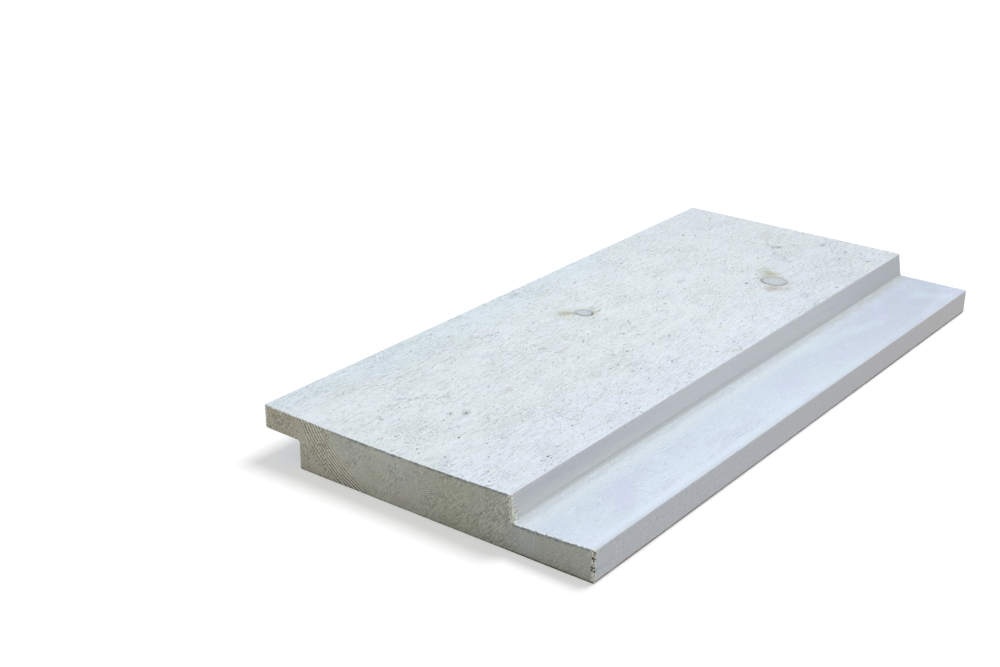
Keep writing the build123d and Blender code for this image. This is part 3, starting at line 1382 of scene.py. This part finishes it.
    def upright(self) -> bpy.types.Material:
        """Finish the planed shoulder and edges, greyer than the tongue.

        Returns:
            The material.
        """
        sheet = Coat("edge_primer")
        x, y, z = sheet.here
        streaks = sheet.noise((1.0, 60, 1.4), detail=3.0, roughness=0.55)
        fine = sheet.noise((0.5, 2.0, 0.5), roughness=0.6)
        far = sheet.ramp(y, -150, 150)
        sheet.colour = sheet.mix(far, paint(208, 210, 214), paint(204, 207, 210))
        sheet.tint(sheet.times(sheet.ramp(y, -120, -30), sheet.ramp(y, 150, 60), 0.7), 221, 223, 225)
        foot_zone = sheet.ramp(sheet.around(sheet.noise((6, 18, 6)), 2, z), 18, 13)
        sheet.tint(sheet.times(foot_zone, sheet.ramp(y, -20, -110), 0.6), 226, 230, 228)
        # Painted shade in the fillet at the foot of the shoulder.
        root_shade_zone = sheet.ramp(sheet.around(fine, 0.6, z), 12.3, 11.3)
        sheet.cover(root_shade_zone, sheet.mix(far, *self.root_shade_tints))
        edge = sheet.mix(far, paint(213, 218, 225), paint(212, 211, 213))
        sheet.cover(sheet.ramp(x, 60, 66), edge)
        sheet.tint(sheet.ramp(x, -40, -60), 216, 222, 227)
        sheet.tone(streaks, 1.0, (0.5, 0.7, 0.22, 202, 205, 210), (0.46, 0.3, 0.2, 222, 226, 229))
        near = sheet.times(sheet.ramp(y, 60, -150, 0.2, 0.75), sheet.ramp(x, 60, 66, 0.6, 1.5))
        sheet.tone(fine, near, (0.54, 0.74, 1.0, 190, 192, 196), (0.44, 0.28, 1.0, 228, 231, 230))
        self.edge_marks(sheet, streaks)
        height = sheet.scaled(fine, 0.8, streaks)
        return sheet.finish(height, self.planed_bump, sheet.ramp(streaks, 0.3, 0.7, 0.7, 0.58), 0.3)

    def edge_marks(self, sheet: Coat, streaks: Socket) -> None:
        """Add a painted shade line where the shoulder meets the tongue, the tongue's dark foot as a painted
        shadow line, and the crumbs at the front corners.

        Args:
            sheet: The edges' coat.
            streaks: The coat's long streaks.
        """
        x, y, z = sheet.here
        # Painted shade: a thin dark line along the crease where the shoulder meets the tongue.
        crease_shade = sheet.math("ABSOLUTE", sheet.minus(sheet.around(streaks, 0.5, z), 12.5))
        crease_shade = sheet.times(sheet.ramp(crease_shade, 0.45, 0.1), sheet.over(x, 38), sheet.under(x, 42))
        crease_shade = sheet.times(crease_shade, sheet.ramp(y, 100, -60, 0.1, 0.5), sheet.ramp(y, -140, -100, 0.3, 1.0))
        sheet.tint(crease_shade, 176, 179, 182)
        at_tip = sheet.over(x, 70)
        rag = sheet.noise((2, 6, 2), detail=3.0)
        low = sheet.around(rag, 0.8, z)
        strip = sheet.times(sheet.ramp(low, 2.0, 1.6), sheet.ramp(y, -70, -120, 0.15, 0.6), at_tip)
        sheet.tint(strip, 229, 225, 219)
        # Painted shadow: a thin dark line along the foot of the tongue's edge, where the board meets the
        # floor.
        foot = sheet.times(sheet.ramp(low, 1.1, 0.8), sheet.ramp(rag, 0.36, 0.5, 0.5, 0.95), at_tip)
        sheet.tint(foot, 98, 90, 87)
        crumb = sheet.noise((0.6, 0.7, 0.6), detail=1.0)
        crumbs = sheet.mix(sheet.ramp(crumb, 0.55, 0.62), paint(232, 240, 226), paint(160, 168, 150))
        on_edge = sheet.under(z, self.board.section.tongue_thickness / MM)
        reach = sheet.scaled(on_edge, -1.7, sheet.ramp(z, 20.5, 12, 0.5, 2.4))
        worn = sheet.minus(sheet.around(crumb, 4.0, sheet.plus(y, 150)), reach)
        sheet.cover(sheet.ramp(worn, 0.3, -0.8, 0.0, 0.9), crumbs)

    def ring_marks(self, sheet: Coat) -> Socket:
        """Draw the growth rings on the end grain.

        Args:
            sheet: The end grain's coat.

        Returns:
            The height of the rings' ridges.
        """
        ridges = 0.0
        named = ("flatten", "first", "spacing", "widening", "inner", "outer", "left", "right")
        worn = sheet.ramp(sheet.noise((0.9, 1, 0.9), detail=1.0), 0.36, 0.54, 0.65, 1.0)
        for run in self.board.rings:
            values = {name: getattr(run, name) for name in named}
            rings = sheet.group(self.rings, pith=(run.pith_x, 0.0, run.pith_z), **values)
            show = sheet.times(rings["Band"], run.show)
            for low, high, coat in ((0.7, 0.9, run.light), (0.34, 0.12, run.dark)):
                sheet.cover(sheet.times(sheet.ramp(rings["Ring"], low, high), show, worn), coat)
            ridges = sheet.scaled(sheet.times(rings["Ring"], show), 0.6, ridges)
        return ridges

    def end(self) -> bpy.types.Material:
        """Finish the bare sawn end grain, filmed over with grey dust and thin primer.

        Returns:
            The material.
        """
        sheet = Coat("sawn_end_grain")
        x = sheet.here["X"]
        cloud = sheet.noise((9, 9, 7))
        sheet.colour = sheet.mix(sheet.ramp(cloud, 0.4, 0.65), paint(219, 220, 206), paint(213, 215, 204))
        sheet.tint(sheet.ramp(x, -20, -66, 0.0, 0.55), 214, 210, 182)
        sheet.tint(sheet.ramp(x, -50, -64, 0.0, 0.6), 190, 184, 158)
        sheet.tint(sheet.ramp(x, -14, 12, 0.0, 0.7), 189, 190, 173)
        sheet.tint(sheet.ramp(x, 20, 42, 0.0, 0.6), 190, 196, 190)
        self.add_stains(sheet, END_STAINS)
        ridges = self.ring_marks(sheet)
        grit = sheet.noise((0.36, 1, 0.42), tilt=33, detail=1.0, roughness=0.6)
        loose = sheet.most(sheet.ramp(x, -28, -42, 0.3, 1.0), sheet.ramp(x, -8, 4, 0.0, 0.55))
        patchy = sheet.ramp(sheet.noise((6, 6, 6), detail=1.0), 0.38, 0.56, 0.35, 1.0)
        loose = sheet.times(loose, sheet.ramp(x, 34, 46, 1.0, 0.5), patchy)
        sheet.tone(grit, loose, (0.52, 0.66, 0.8, 128, 128, 110), (0.47, 0.34, 0.8, 250, 248, 230))
        scratch = sheet.noise((0.34, 1, 1.4), tilt=33, detail=1.0)
        calm = sheet.ramp(sheet.noise((8, 8, 7), detail=1.0), 0.4, 0.58, 0.25, 1.0)
        calm = sheet.times(calm, sheet.ramp(x, 34, 46, 1.0, 0.6))
        sheet.tone(scratch, calm, (0.53, 0.66, 0.5, 150, 152, 138), (0.47, 0.34, 0.45, 240, 240, 226))
        score = sheet.noise((0.36, 1, 3.2), tilt=42, detail=1.0)
        by_shoulder = sheet.times(sheet.ramp(x, 4, 26), sheet.ramp(x, 44, 38))
        sheet.tone(score, by_shoulder, (0.54, 0.66, 0.38, 146, 150, 140), (0.47, 0.35, 0.32, 228, 230, 218))
        rim = sheet.group(self.rim)
        sheet.tint(rim["Shade"], 128, 136, 146)
        crumb = sheet.ramp(sheet.noise((0.6, 0.6, 0.7), detail=1.0), 0.52, 0.6)
        sheet.cover(rim["Rim"], sheet.mix(crumb, paint(252, 255, 246), paint(146, 150, 134)))
        sheet.tint(rim["Foot"], 106, 101, 66)
        height = sheet.scaled(sheet.times(scratch, calm), -0.6, sheet.times(grit, loose))
        return sheet.finish(sheet.plus(height, ridges), self.end_bump, 0.92, 0.2)

    def back(self) -> bpy.types.Material:
        """Finish the sawn back with one thin, streaky coat.

        Returns:
            The material.
        """
        sheet = Coat("thin_primed_back")
        grain = sheet.group(self.grain, pitch=2.3, wander=2.0)
        bands = sheet.noise((50, 3, 50), 6)
        sheet.colour = sheet.mix(sheet.ramp(bands, 0.4, 0.65), paint(214, 218, 216), paint(204, 207, 200))
        sheet.tint(sheet.times(grain["Groove"], 0.12), 184, 182, 168)
        sheet.tint(sheet.ramp(grain["Streak"], 0.5, 0.75, 0.0, 0.4), 190, 188, 172)
        return sheet.finish(sheet.scaled(bands, 0.8, grain["Streak"]), self.face_bump, 0.88)

    def by_surface(self) -> dict[Surface, bpy.types.Material]:
        """Return the material of each kind of surface."""
        made = (self.face(), self.planed(), self.upright(), self.end(), self.back())
        return dict(zip(Surface, made))

    def loose(self, wood: "LooseFinish") -> bpy.types.Material:
        """Finish a loose bit of wood in two tints that blend along it.

        Args:
            wood: The kind of wood's name and tints.

        Returns:
            The material.
        """
        sheet = Coat(wood.title)
        blend = sheet.noise((0.9, 0.9, 0.9), detail=3.0, roughness=0.6)
        sheet.colour = sheet.mix(sheet.ramp(blend, 0.38, 0.62), wood.first, wood.second)
        return sheet.finish(blend, self.loose_bump, sheet.ramp(blend, 0.3, 0.7, 0.92, 0.75), 0.2)


@dataclass(frozen=True)
class LooseFinish:
    """The two tints of one kind of loose wood."""

    title: str
    first: Colour
    second: Colour


class Loose(Enum):
    """The kinds of loose wood and dirt on the board."""

    DARK = LooseFinish("weathered_fleck", paint(142, 150, 152), paint(114, 122, 124))
    RESIN = LooseFinish("resin_fleck", paint(188, 190, 170), paint(170, 170, 146))
    PALE = LooseFinish("primed_fibre", paint(241, 248, 252), paint(232, 240, 245))
    WHISKER = LooseFinish("torn_whisker", paint(196, 202, 200), paint(150, 158, 156))
    CRUMB = LooseFinish("primer_crumb", paint(246, 250, 240), paint(226, 232, 214))
    CHIP = LooseFinish("bare_chip", paint(106, 108, 102), paint(122, 96, 88))
    # A pale splinter, set to full white to stand in for the light that glows through it at the front end.
    SPLINTER = LooseFinish("pale_splinter_painted_glow", paint(255, 255, 252), paint(255, 252, 244))
    SLIVER = LooseFinish("red_brown_sliver", paint(176, 112, 92), paint(196, 150, 128))


@dataclass(frozen=True)
class Fleck:
    """A torn fibre or a speck, placed from the lip's edge and the front end in millimetres."""

    x: float
    y: float
    long: float = 0.9
    wide: float = 0.5
    turn: float = 0.0


DARK_FLECKS = (
    Fleck(19.0, 260.0, 1.9, 1.2, 20), Fleck(24.0, 262.7, 1.4, 0.8), Fleck(24.3, 275.3, 1.4, 0.7, 15),
    Fleck(26.7, 283.3, 1.1, 0.7), Fleck(28.7, 240.2, 1.3, 0.7), Fleck(45.3, 237.0, 1.1, 0.7),
    Fleck(52.7, 241.3, 1.2, 0.7), Fleck(74.7, 221.0, 1.7, 0.9, 25), Fleck(90.6, 286.1, 1.4, 0.9),
    Fleck(96.8, 289.5, 2.2, 0.7, -50), Fleck(104.6, 280.4, 2.4, 0.7, -50), Fleck(108.5, 241.0, 2.0, 0.7, -40),
    Fleck(92.5, 276.6, 1.3, 0.7), Fleck(101.0, 270.4, 1.2, 0.7), Fleck(59.8, 235.2, 1.2, 0.8),
    Fleck(62.7, 253.7, 1.3, 0.7), Fleck(65.7, 233.5, 1.1, 0.7), Fleck(72.8, 233.8, 1.3, 0.8),
    Fleck(72.6, 261.3, 1.3, 0.7), Fleck(41.8, 174.7, 1.2, 0.7), Fleck(59.7, 178.1, 2.0, 0.6, -50),
    Fleck(64.3, 139.3, 1.3, 0.7, 20), Fleck(33.0, 117.7, 2.0, 0.5, -60), Fleck(28.7, 125.7, 1.0, 0.6),
    Fleck(38.7, 204.0, 1.1, 0.7), Fleck(75.3, 124.6, 1.4, 0.8), Fleck(80.1, 148.5, 1.3, 0.8),
    Fleck(79.4, 137.6, 1.8, 0.6, 10), Fleck(94.6, 126.9, 1.4, 0.8), Fleck(87.8, 109.5, 1.8, 0.6, -50),
    Fleck(80.0, 111.0, 1.2, 0.7), Fleck(103.7, 158.8, 1.3, 0.7), Fleck(105.1, 166.1, 1.1, 0.6),
    Fleck(91.1, 154.0, 1.1, 0.6), Fleck(106.3, 120.1, 1.2, 0.6, -50), Fleck(104.9, 100.2, 1.2, 0.7),
    Fleck(59.2, 151.0, 2.2, 0.5, -75), Fleck(60.4, 149.4, 1.4, 0.5, -60), Fleck(57.8, 152.4, 1.2, 0.5, -40),
    Fleck(69.3, 142.3, 2.2, 0.45, -45), Fleck(18.7, 204.0), Fleck(21.3, 198.1), Fleck(56.3, 122.0, 1.2, 0.6),
    Fleck(53.3, 129.5, 1.1, 0.6), Fleck(23.8, 159.0, 1.1, 0.6), Fleck(33.5, 190.2),
    Fleck(15.5, 174.6, 4.5, 0.4, 5),
    Fleck(40.3, 18.4, 2.4, 0.45, -65), Fleck(38.7, 40.3, 2.8, 0.4, -55), Fleck(25.7, 64.3, 1.1, 0.6),
    Fleck(47.2, 106.0, 5.0, 0.4), Fleck(71.2, 24.0, 1.3, 0.8), Fleck(81.9, 26.2, 1.1, 0.6),
    Fleck(76.9, 9.5, 1.0, 0.6), Fleck(88.8, 18.3, 1.1, 0.7), Fleck(100.1, 4.0, 1.2, 0.7),
    Fleck(104.8, 30.4, 1.5, 0.9), Fleck(80.7, 48.3, 1.1, 0.7), Fleck(65.4, 8.4, 1.2, 0.7),
    Fleck(59.8, 10.0, 2.4, 0.5, -55), Fleck(53.2, 11.3, 1.8, 0.4, -70), Fleck(59.4, 2.2, 0.9, 0.6),
    Fleck(97.3, 55.7, 1.2, 0.7), Fleck(24.0, 108.0, 1.1, 0.6), Fleck(60.8, 41.0, 1.6, 0.8, 30),
    Fleck(56.5, 37.5, 1.3, 0.6, 10), Fleck(58.3, 31.7, 1.2, 0.6, 40),
)


@dataclass
class LooseWood:
    """The flecks, whiskers, crumbs and splinters that the saw left on the board."""

    board: CladdingBoard
    seed: int = 71
    thickness: float = 0.09 * MM
    dark_scatter: int = 240
    resin_scatter: int = 70
    pale_scatter: int = 320
    whiskers: int = 300
    crumbs: int = 190
    chips: int = 16

    def __post_init__(self) -> None:
        """Start the random choices from the same place on every run."""
        self.random = np.random.default_rng(self.seed)

    def between(self, low: float, high: float, count: int) -> Numbers:
        """Pick values evenly between two limits."""
        return self.random.uniform(low, high, count)

    def speck(self, bm: bmesh.types.BMesh, place: Numbers, size: Triple, turn: float) -> None:
        """Lay one flattened speck down, turned about Z by so many degrees.

        Args:
            bm: The mesh being made.
            place: The speck's middle.
            size: Its size each way, in metres.
            turn: Degrees about Z.
        """
        lie = Matrix.Translation(place) @ Matrix.Rotation(math.radians(turn), 4, "Z")
        bmesh.ops.create_icosphere(
            bm, subdivisions=1, radius=0.5, matrix=lie @ Matrix.Diagonal((*size, 1.0))
        )

    def spike(self, bm: bmesh.types.BMesh, root: Numbers, tip: Numbers, width: float) -> None:
        """Stand one tapered whisker from its root to its tip.

        Args:
            bm: The mesh being made.
            root: Where it starts.
            tip: Where it ends.
            width: Its width at the root, in metres.
        """
        root, tip = Vector(root), Vector(tip)
        reach = tip - root
        stand = Matrix.Translation((root + tip) / 2) @ reach.to_track_quat("Z", "Y").to_matrix().to_4x4()
        bmesh.ops.create_cone(
            bm, cap_ends=True, cap_tris=True, segments=5, radius1=width / 2, radius2=width / 8,
            depth=reach.length, matrix=stand,
        )

    def finish(self, bm: bmesh.types.BMesh, name: str, material: bpy.types.Material) -> bpy.types.Object:
        """Turn a kind of loose wood into one piece inside the board's box.

        Args:
            bm: The mesh being made.
            name: The piece's name.
            material: Its finish.

        Returns:
            The piece.
        """
        mesh = bpy.data.meshes.new(name)
        bm.to_mesh(mesh)
        bm.free()
        write_places(mesh, self.board.keep_in(read(mesh.vertices, "co")))
        mesh.materials.append(material)
        mesh.polygons.foreach_set("use_smooth", np.ones(len(mesh.polygons), bool))
        piece = bpy.data.objects.new(name, mesh)
        bpy.context.scene.collection.objects.link(piece)
        return piece

    def lay_flecks(self, bm: bmesh.types.BMesh, flecks: list[Fleck]) -> None:
        """Lay flecks flat on the weather face.

        Args:
            bm: The mesh being made.
            flecks: The flecks.
        """
        low = self.board.section.low
        x = np.array([low.x + fleck.x * MM for fleck in flecks])
        y = np.array([low.y + fleck.y * MM for fleck in flecks])
        for fleck, place in zip(flecks, self.board.face_points(x, y)):
            self.speck(bm, place, (fleck.wide * MM, fleck.long * MM, self.thickness), fleck.turn)

    def scattered(self, count: int, long: tuple[float, float], wide: tuple[float, float]) -> list[Fleck]:
        """Pick so many flecks at random over the whole weather face, clear of the knots.

        Args:
            count: How many to pick.
            long: The least and greatest length, in millimetres.
            wide: The least and greatest width, in millimetres.

        Returns:
            The flecks.
        """
        flecks = []
        while len(flecks) < count:
            x, y, turn = self.between(1, 110, 1)[0], self.between(1, 299, 1)[0], self.random.normal(8, 28)
            row_x, row_y = self.board.section.low.x + x * MM, self.board.section.low.y + y * MM
            clear = all(knot.distance(row_x, row_y) > knot.radius + 0.8 * MM for knot in self.board.knots)
            if clear:
                flecks.append(Fleck(x, y, self.random.uniform(*long), self.random.uniform(*wide), turn))
        return flecks

    def lay_whiskers(self, bm: bmesh.types.BMesh) -> None:
        """Stand torn whiskers along the top arrises of both ends.

        Args:
            bm: The mesh being made.
        """
        s = self.board.section
        for end, outwards, count in ((s.low.y, -1, self.whiskers), (s.high.y, 1, self.whiskers // 20)):
            across = self.between(s.low.x + 6 * MM, s.high.x - 1 * MM, count)
            on_tongue = across > s.shoulder_foot + 0.6 * MM
            across = across[on_tongue | (across < s.shoulder_top - 0.4 * MM)]
            top = np.where(across > s.shoulder_foot, s.tongue_thickness, s.high.z - self.board.face_sink)
            along = np.full(len(across), end - outwards * 0.3 * MM)
            roots = self.board.bend(np.stack([across, along, top - 0.12 * MM], 1))
            for root, raised in zip(roots, np.where(across > s.shoulder_foot, 1.0, 0.45)):
                lift = raised * self.random.uniform(0.1, 0.6) ** 1.5 * 1.7 * MM
                sideways = self.random.normal(0, 0.25) * MM
                tip = root + np.array([sideways, outwards * 0.25 * MM, lift + 0.12 * MM])
                self.spike(bm, root, tip, self.random.uniform(0.12, 0.26) * MM)

    def lay_crumbs(self, bm: bmesh.types.BMesh) -> None:
        """Crumble the front corner of the shoulder and the upright front corner of the tongue.

        Args:
            bm: The mesh being made.
        """
        s = self.board.section
        up = self.between(s.tongue_thickness + 0.2 * MM, s.high.z - 0.5 * MM, self.crumbs)
        line = s.shoulder_top + s.shoulder_lean * (s.high.z - up)
        across = line - np.abs(self.random.normal(0, 0.85, self.crumbs)) * MM
        along = np.zeros(self.crumbs)
        at_tip = self.crumbs // 3
        up[:at_tip] = self.between(0.8 * MM, s.tongue_thickness, at_tip)
        across[:at_tip] = s.high.x - np.abs(self.random.normal(0.3, 0.55, at_tip)) * MM
        worn = slice(at_tip, 2 * at_tip)
        across[worn] = line[worn]
        reach = 0.3 * MM + 0.13 * (s.high.z - up[worn])
        along[worn] = np.abs(self.random.normal(0, 1, at_tip)) * reach
        self.lay_corner_bits(bm, across, up, (0.3, 0.7), along)

    def lay_chips(self, bm: bmesh.types.BMesh) -> None:
        """Leave bare chips and dark gaps between the crumbs.

        Args:
            bm: The mesh being made.
        """
        s = self.board.section
        up = self.between(3.5 * MM, s.tongue_thickness - 0.8 * MM, self.chips)
        across = s.high.x - np.abs(self.random.normal(0.6, 0.5, self.chips)) * MM
        self.lay_corner_bits(bm, across, up, (0.3, 1.3))
        up = self.between(s.tongue_thickness + 1 * MM, s.high.z - 1 * MM, self.chips // 2)
        line = s.shoulder_top + s.shoulder_lean * (s.high.z - up)
        across = line - self.between(0.5, 1.7, self.chips // 2) * MM
        self.lay_corner_bits(bm, across, up, (0.25, 0.7))

    def lay_corner_bits(
        self, bm: bmesh.types.BMesh, across: Numbers, up: Numbers, size: tuple[float, float],
        along: Numbers | float = 0.0,
    ) -> None:
        """Set bits of a size in millimetres at places across and up, on the front end or behind it.

        Args:
            bm: The mesh being made.
            across: The bits' places across the board.
            up: Their heights above its back.
            size: Their least and greatest size, in millimetres.
            along: How far they lie behind the front end, in metres.
        """
        s = self.board.section
        shift = self.board.end_shift(across, up, self.board.front_seed) + along
        places = self.board.bend(np.stack([across, s.low.y + shift, up], 1))
        for place in places:
            wide, high, deep = self.random.uniform(*size, 3) * MM
            self.speck(bm, place, (wide, 0.8 * deep, high), self.random.uniform(-40, 40))

    def lay_spike(self, bm: bmesh.types.BMesh, start: Vector, stop: Vector, width: float) -> None:
        """Lay one splinter between two places given from the lip's edge, the front end and the back.

        Args:
            bm: The mesh being made.
            start: Where it starts, in millimetres.
            stop: Where it ends.
            width: Its width at the start, in metres.
        """
        low = self.board.section.low
        ends = np.array([(low.x + p.x * MM, low.y + p.y * MM, p.z * MM) for p in (start, stop)])
        root, tip = self.board.bend(ends)
        self.spike(bm, root, tip, width)

    def build(self, finishes: Finishes) -> list[bpy.types.Object]:
        """Make every kind of loose wood.

        Args:
            finishes: The board's finishes.

        Returns:
            One piece for each kind.
        """
        pieces = []
        for kind in Loose:
            bm = bmesh.new()
            if kind is Loose.DARK:
                self.lay_flecks(bm, list(DARK_FLECKS))
                self.lay_flecks(bm, self.scattered(self.dark_scatter, (0.7, 1.8), (0.27, 0.44)))
            elif kind is Loose.RESIN:
                self.lay_flecks(bm, self.scattered(self.resin_scatter, (0.6, 1.6), (0.25, 0.5)))
            elif kind is Loose.PALE:
                self.lay_flecks(bm, self.scattered(self.pale_scatter, (0.6, 1.8), (0.25, 0.42)))
            elif kind is Loose.WHISKER:
                self.lay_whiskers(bm)
            elif kind is Loose.CRUMB:
                self.lay_crumbs(bm)
            elif kind is Loose.CHIP:
                self.lay_chips(bm)
            elif kind is Loose.SPLINTER:
                self.lay_spike(bm, Vector((111.4, 0.3, 20.9)), Vector((108.9, 0.15, 17.3)), 0.7 * MM)
            else:
                self.lay_spike(bm, Vector((112.4, 1.2, 14.1)), Vector((112.35, 4.6, 14.5)), 0.5 * MM)
            pieces.append(self.finish(bm, kind.value.title, finishes.loose(kind.value)))
        return pieces


@dataclass
class Studio:
    """Camera, floor and lights."""

    eye: Triple = (0.30546, -0.50711, 0.26029)
    aim: Triple = (-0.06188, -0.02305, 0.0105)
    roll: float = 0.556
    lens: float = 56.24
    floor_reach: float = 6.0
    key_place: Triple = (0.4, 1.5, 3.3)
    key_size: float = 1.7
    key_power: float = 96.0
    sky: float = 0.42

    def camera(self) -> None:
        """Stand the camera where the photograph was taken from."""
        data = bpy.data.cameras.new("camera")
        data.lens = self.lens
        data.clip_start, data.clip_end = 0.01, 50.0
        camera = bpy.data.objects.new("camera", data)
        bpy.context.scene.collection.objects.link(camera)
        look = (Vector(self.aim) - Vector(self.eye)).to_track_quat("-Z", "Y")
        turn = Matrix.Rotation(math.radians(self.roll), 4, "Z")
        camera.matrix_world = Matrix.Translation(self.eye) @ look.to_matrix().to_4x4() @ turn
        bpy.context.scene.camera = camera

    def floor(self) -> None:
        """Lay a plain pale floor that keeps the board's shadow."""
        bm = bmesh.new()
        bmesh.ops.create_circle(bm, cap_ends=True, radius=self.floor_reach, segments=96)
        mesh = bpy.data.meshes.new("floor")
        bm.to_mesh(mesh)
        bm.free()
        floor = bpy.data.objects.new("floor", mesh)
        bpy.context.scene.collection.objects.link(floor)
        material = bpy.data.materials.new("pale_floor")
        material.use_nodes = True
        sheet = NodeSheet(material.node_tree)
        lit = sheet.node("BsdfDiffuse", {"Color": (0.62, 0.62, 0.62, 1.0)})
        path = sheet.node("LightPath").outputs
        away = sheet.node("VectorMath", {0: sheet.node("TexCoord").outputs["Object"]}, operation="LENGTH")
        bright = sheet.ramp(away.outputs["Value"], 0.5, 2.5, 0.42, 0.8)
        seen = sheet.times(path["Is Camera Ray"], bright)
        glow = sheet.node("Emission", {"Color": (1.0, 1.0, 1.0, 1.0), "Strength": seen})
        both = sheet.node("AddShader", {0: lit.outputs[0], 1: glow.outputs[0]})
        out = sheet.node("OutputMaterial")
        sheet.put(out.inputs["Surface"], both.outputs[0])
        mesh.materials.append(material)

    def lights(self) -> None:
        """Hang one soft lamp above and behind the board, under an even sky."""
        data = bpy.data.lights.new("key", "AREA")
        data.shape = "DISK"
        data.size = self.key_size
        data.energy = self.key_power
        key = bpy.data.objects.new("key", data)
        bpy.context.scene.collection.objects.link(key)
        towards = (-Vector(self.key_place)).to_track_quat("-Z", "Y")
        key.matrix_world = Matrix.Translation(self.key_place) @ towards.to_matrix().to_4x4()
        world = bpy.data.worlds.new("sky")
        bpy.context.scene.world = world
        world.use_nodes = True
        sheet = NodeSheet(world.node_tree)
        path = sheet.node("LightPath").outputs
        level = sheet.math("MULTIPLY_ADD", path["Is Camera Ray"], 1.0 - self.sky, self.sky)
        sky = sheet.node("Background", {"Color": (1.0, 1.0, 1.0, 1.0), "Strength": level})
        out = sheet.node("OutputWorld")
        sheet.put(out.inputs["Surface"], sky.outputs[0])

    def build(self) -> None:
        """Set up the whole studio."""
        self.camera()
        self.floor()
        self.lights()
        bpy.context.scene.view_settings.view_transform = "Standard"


def main() -> None:
    """Build the studio, the board and its loose wood in order."""
    logging.basicConfig(level=logging.INFO, format="%(message)s")
    Studio().build()
    board = CladdingBoard()
    finishes = Finishes(board)
    piece = board.build(finishes.by_surface())
    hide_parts(NODE)
    for part in [piece, *LooseWood(board).build(finishes)]:
        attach(part, BODY)
        LOG.info("%s: %d faces", part.name, len(part.data.polygons))


if __name__ == "__main__":
    main()
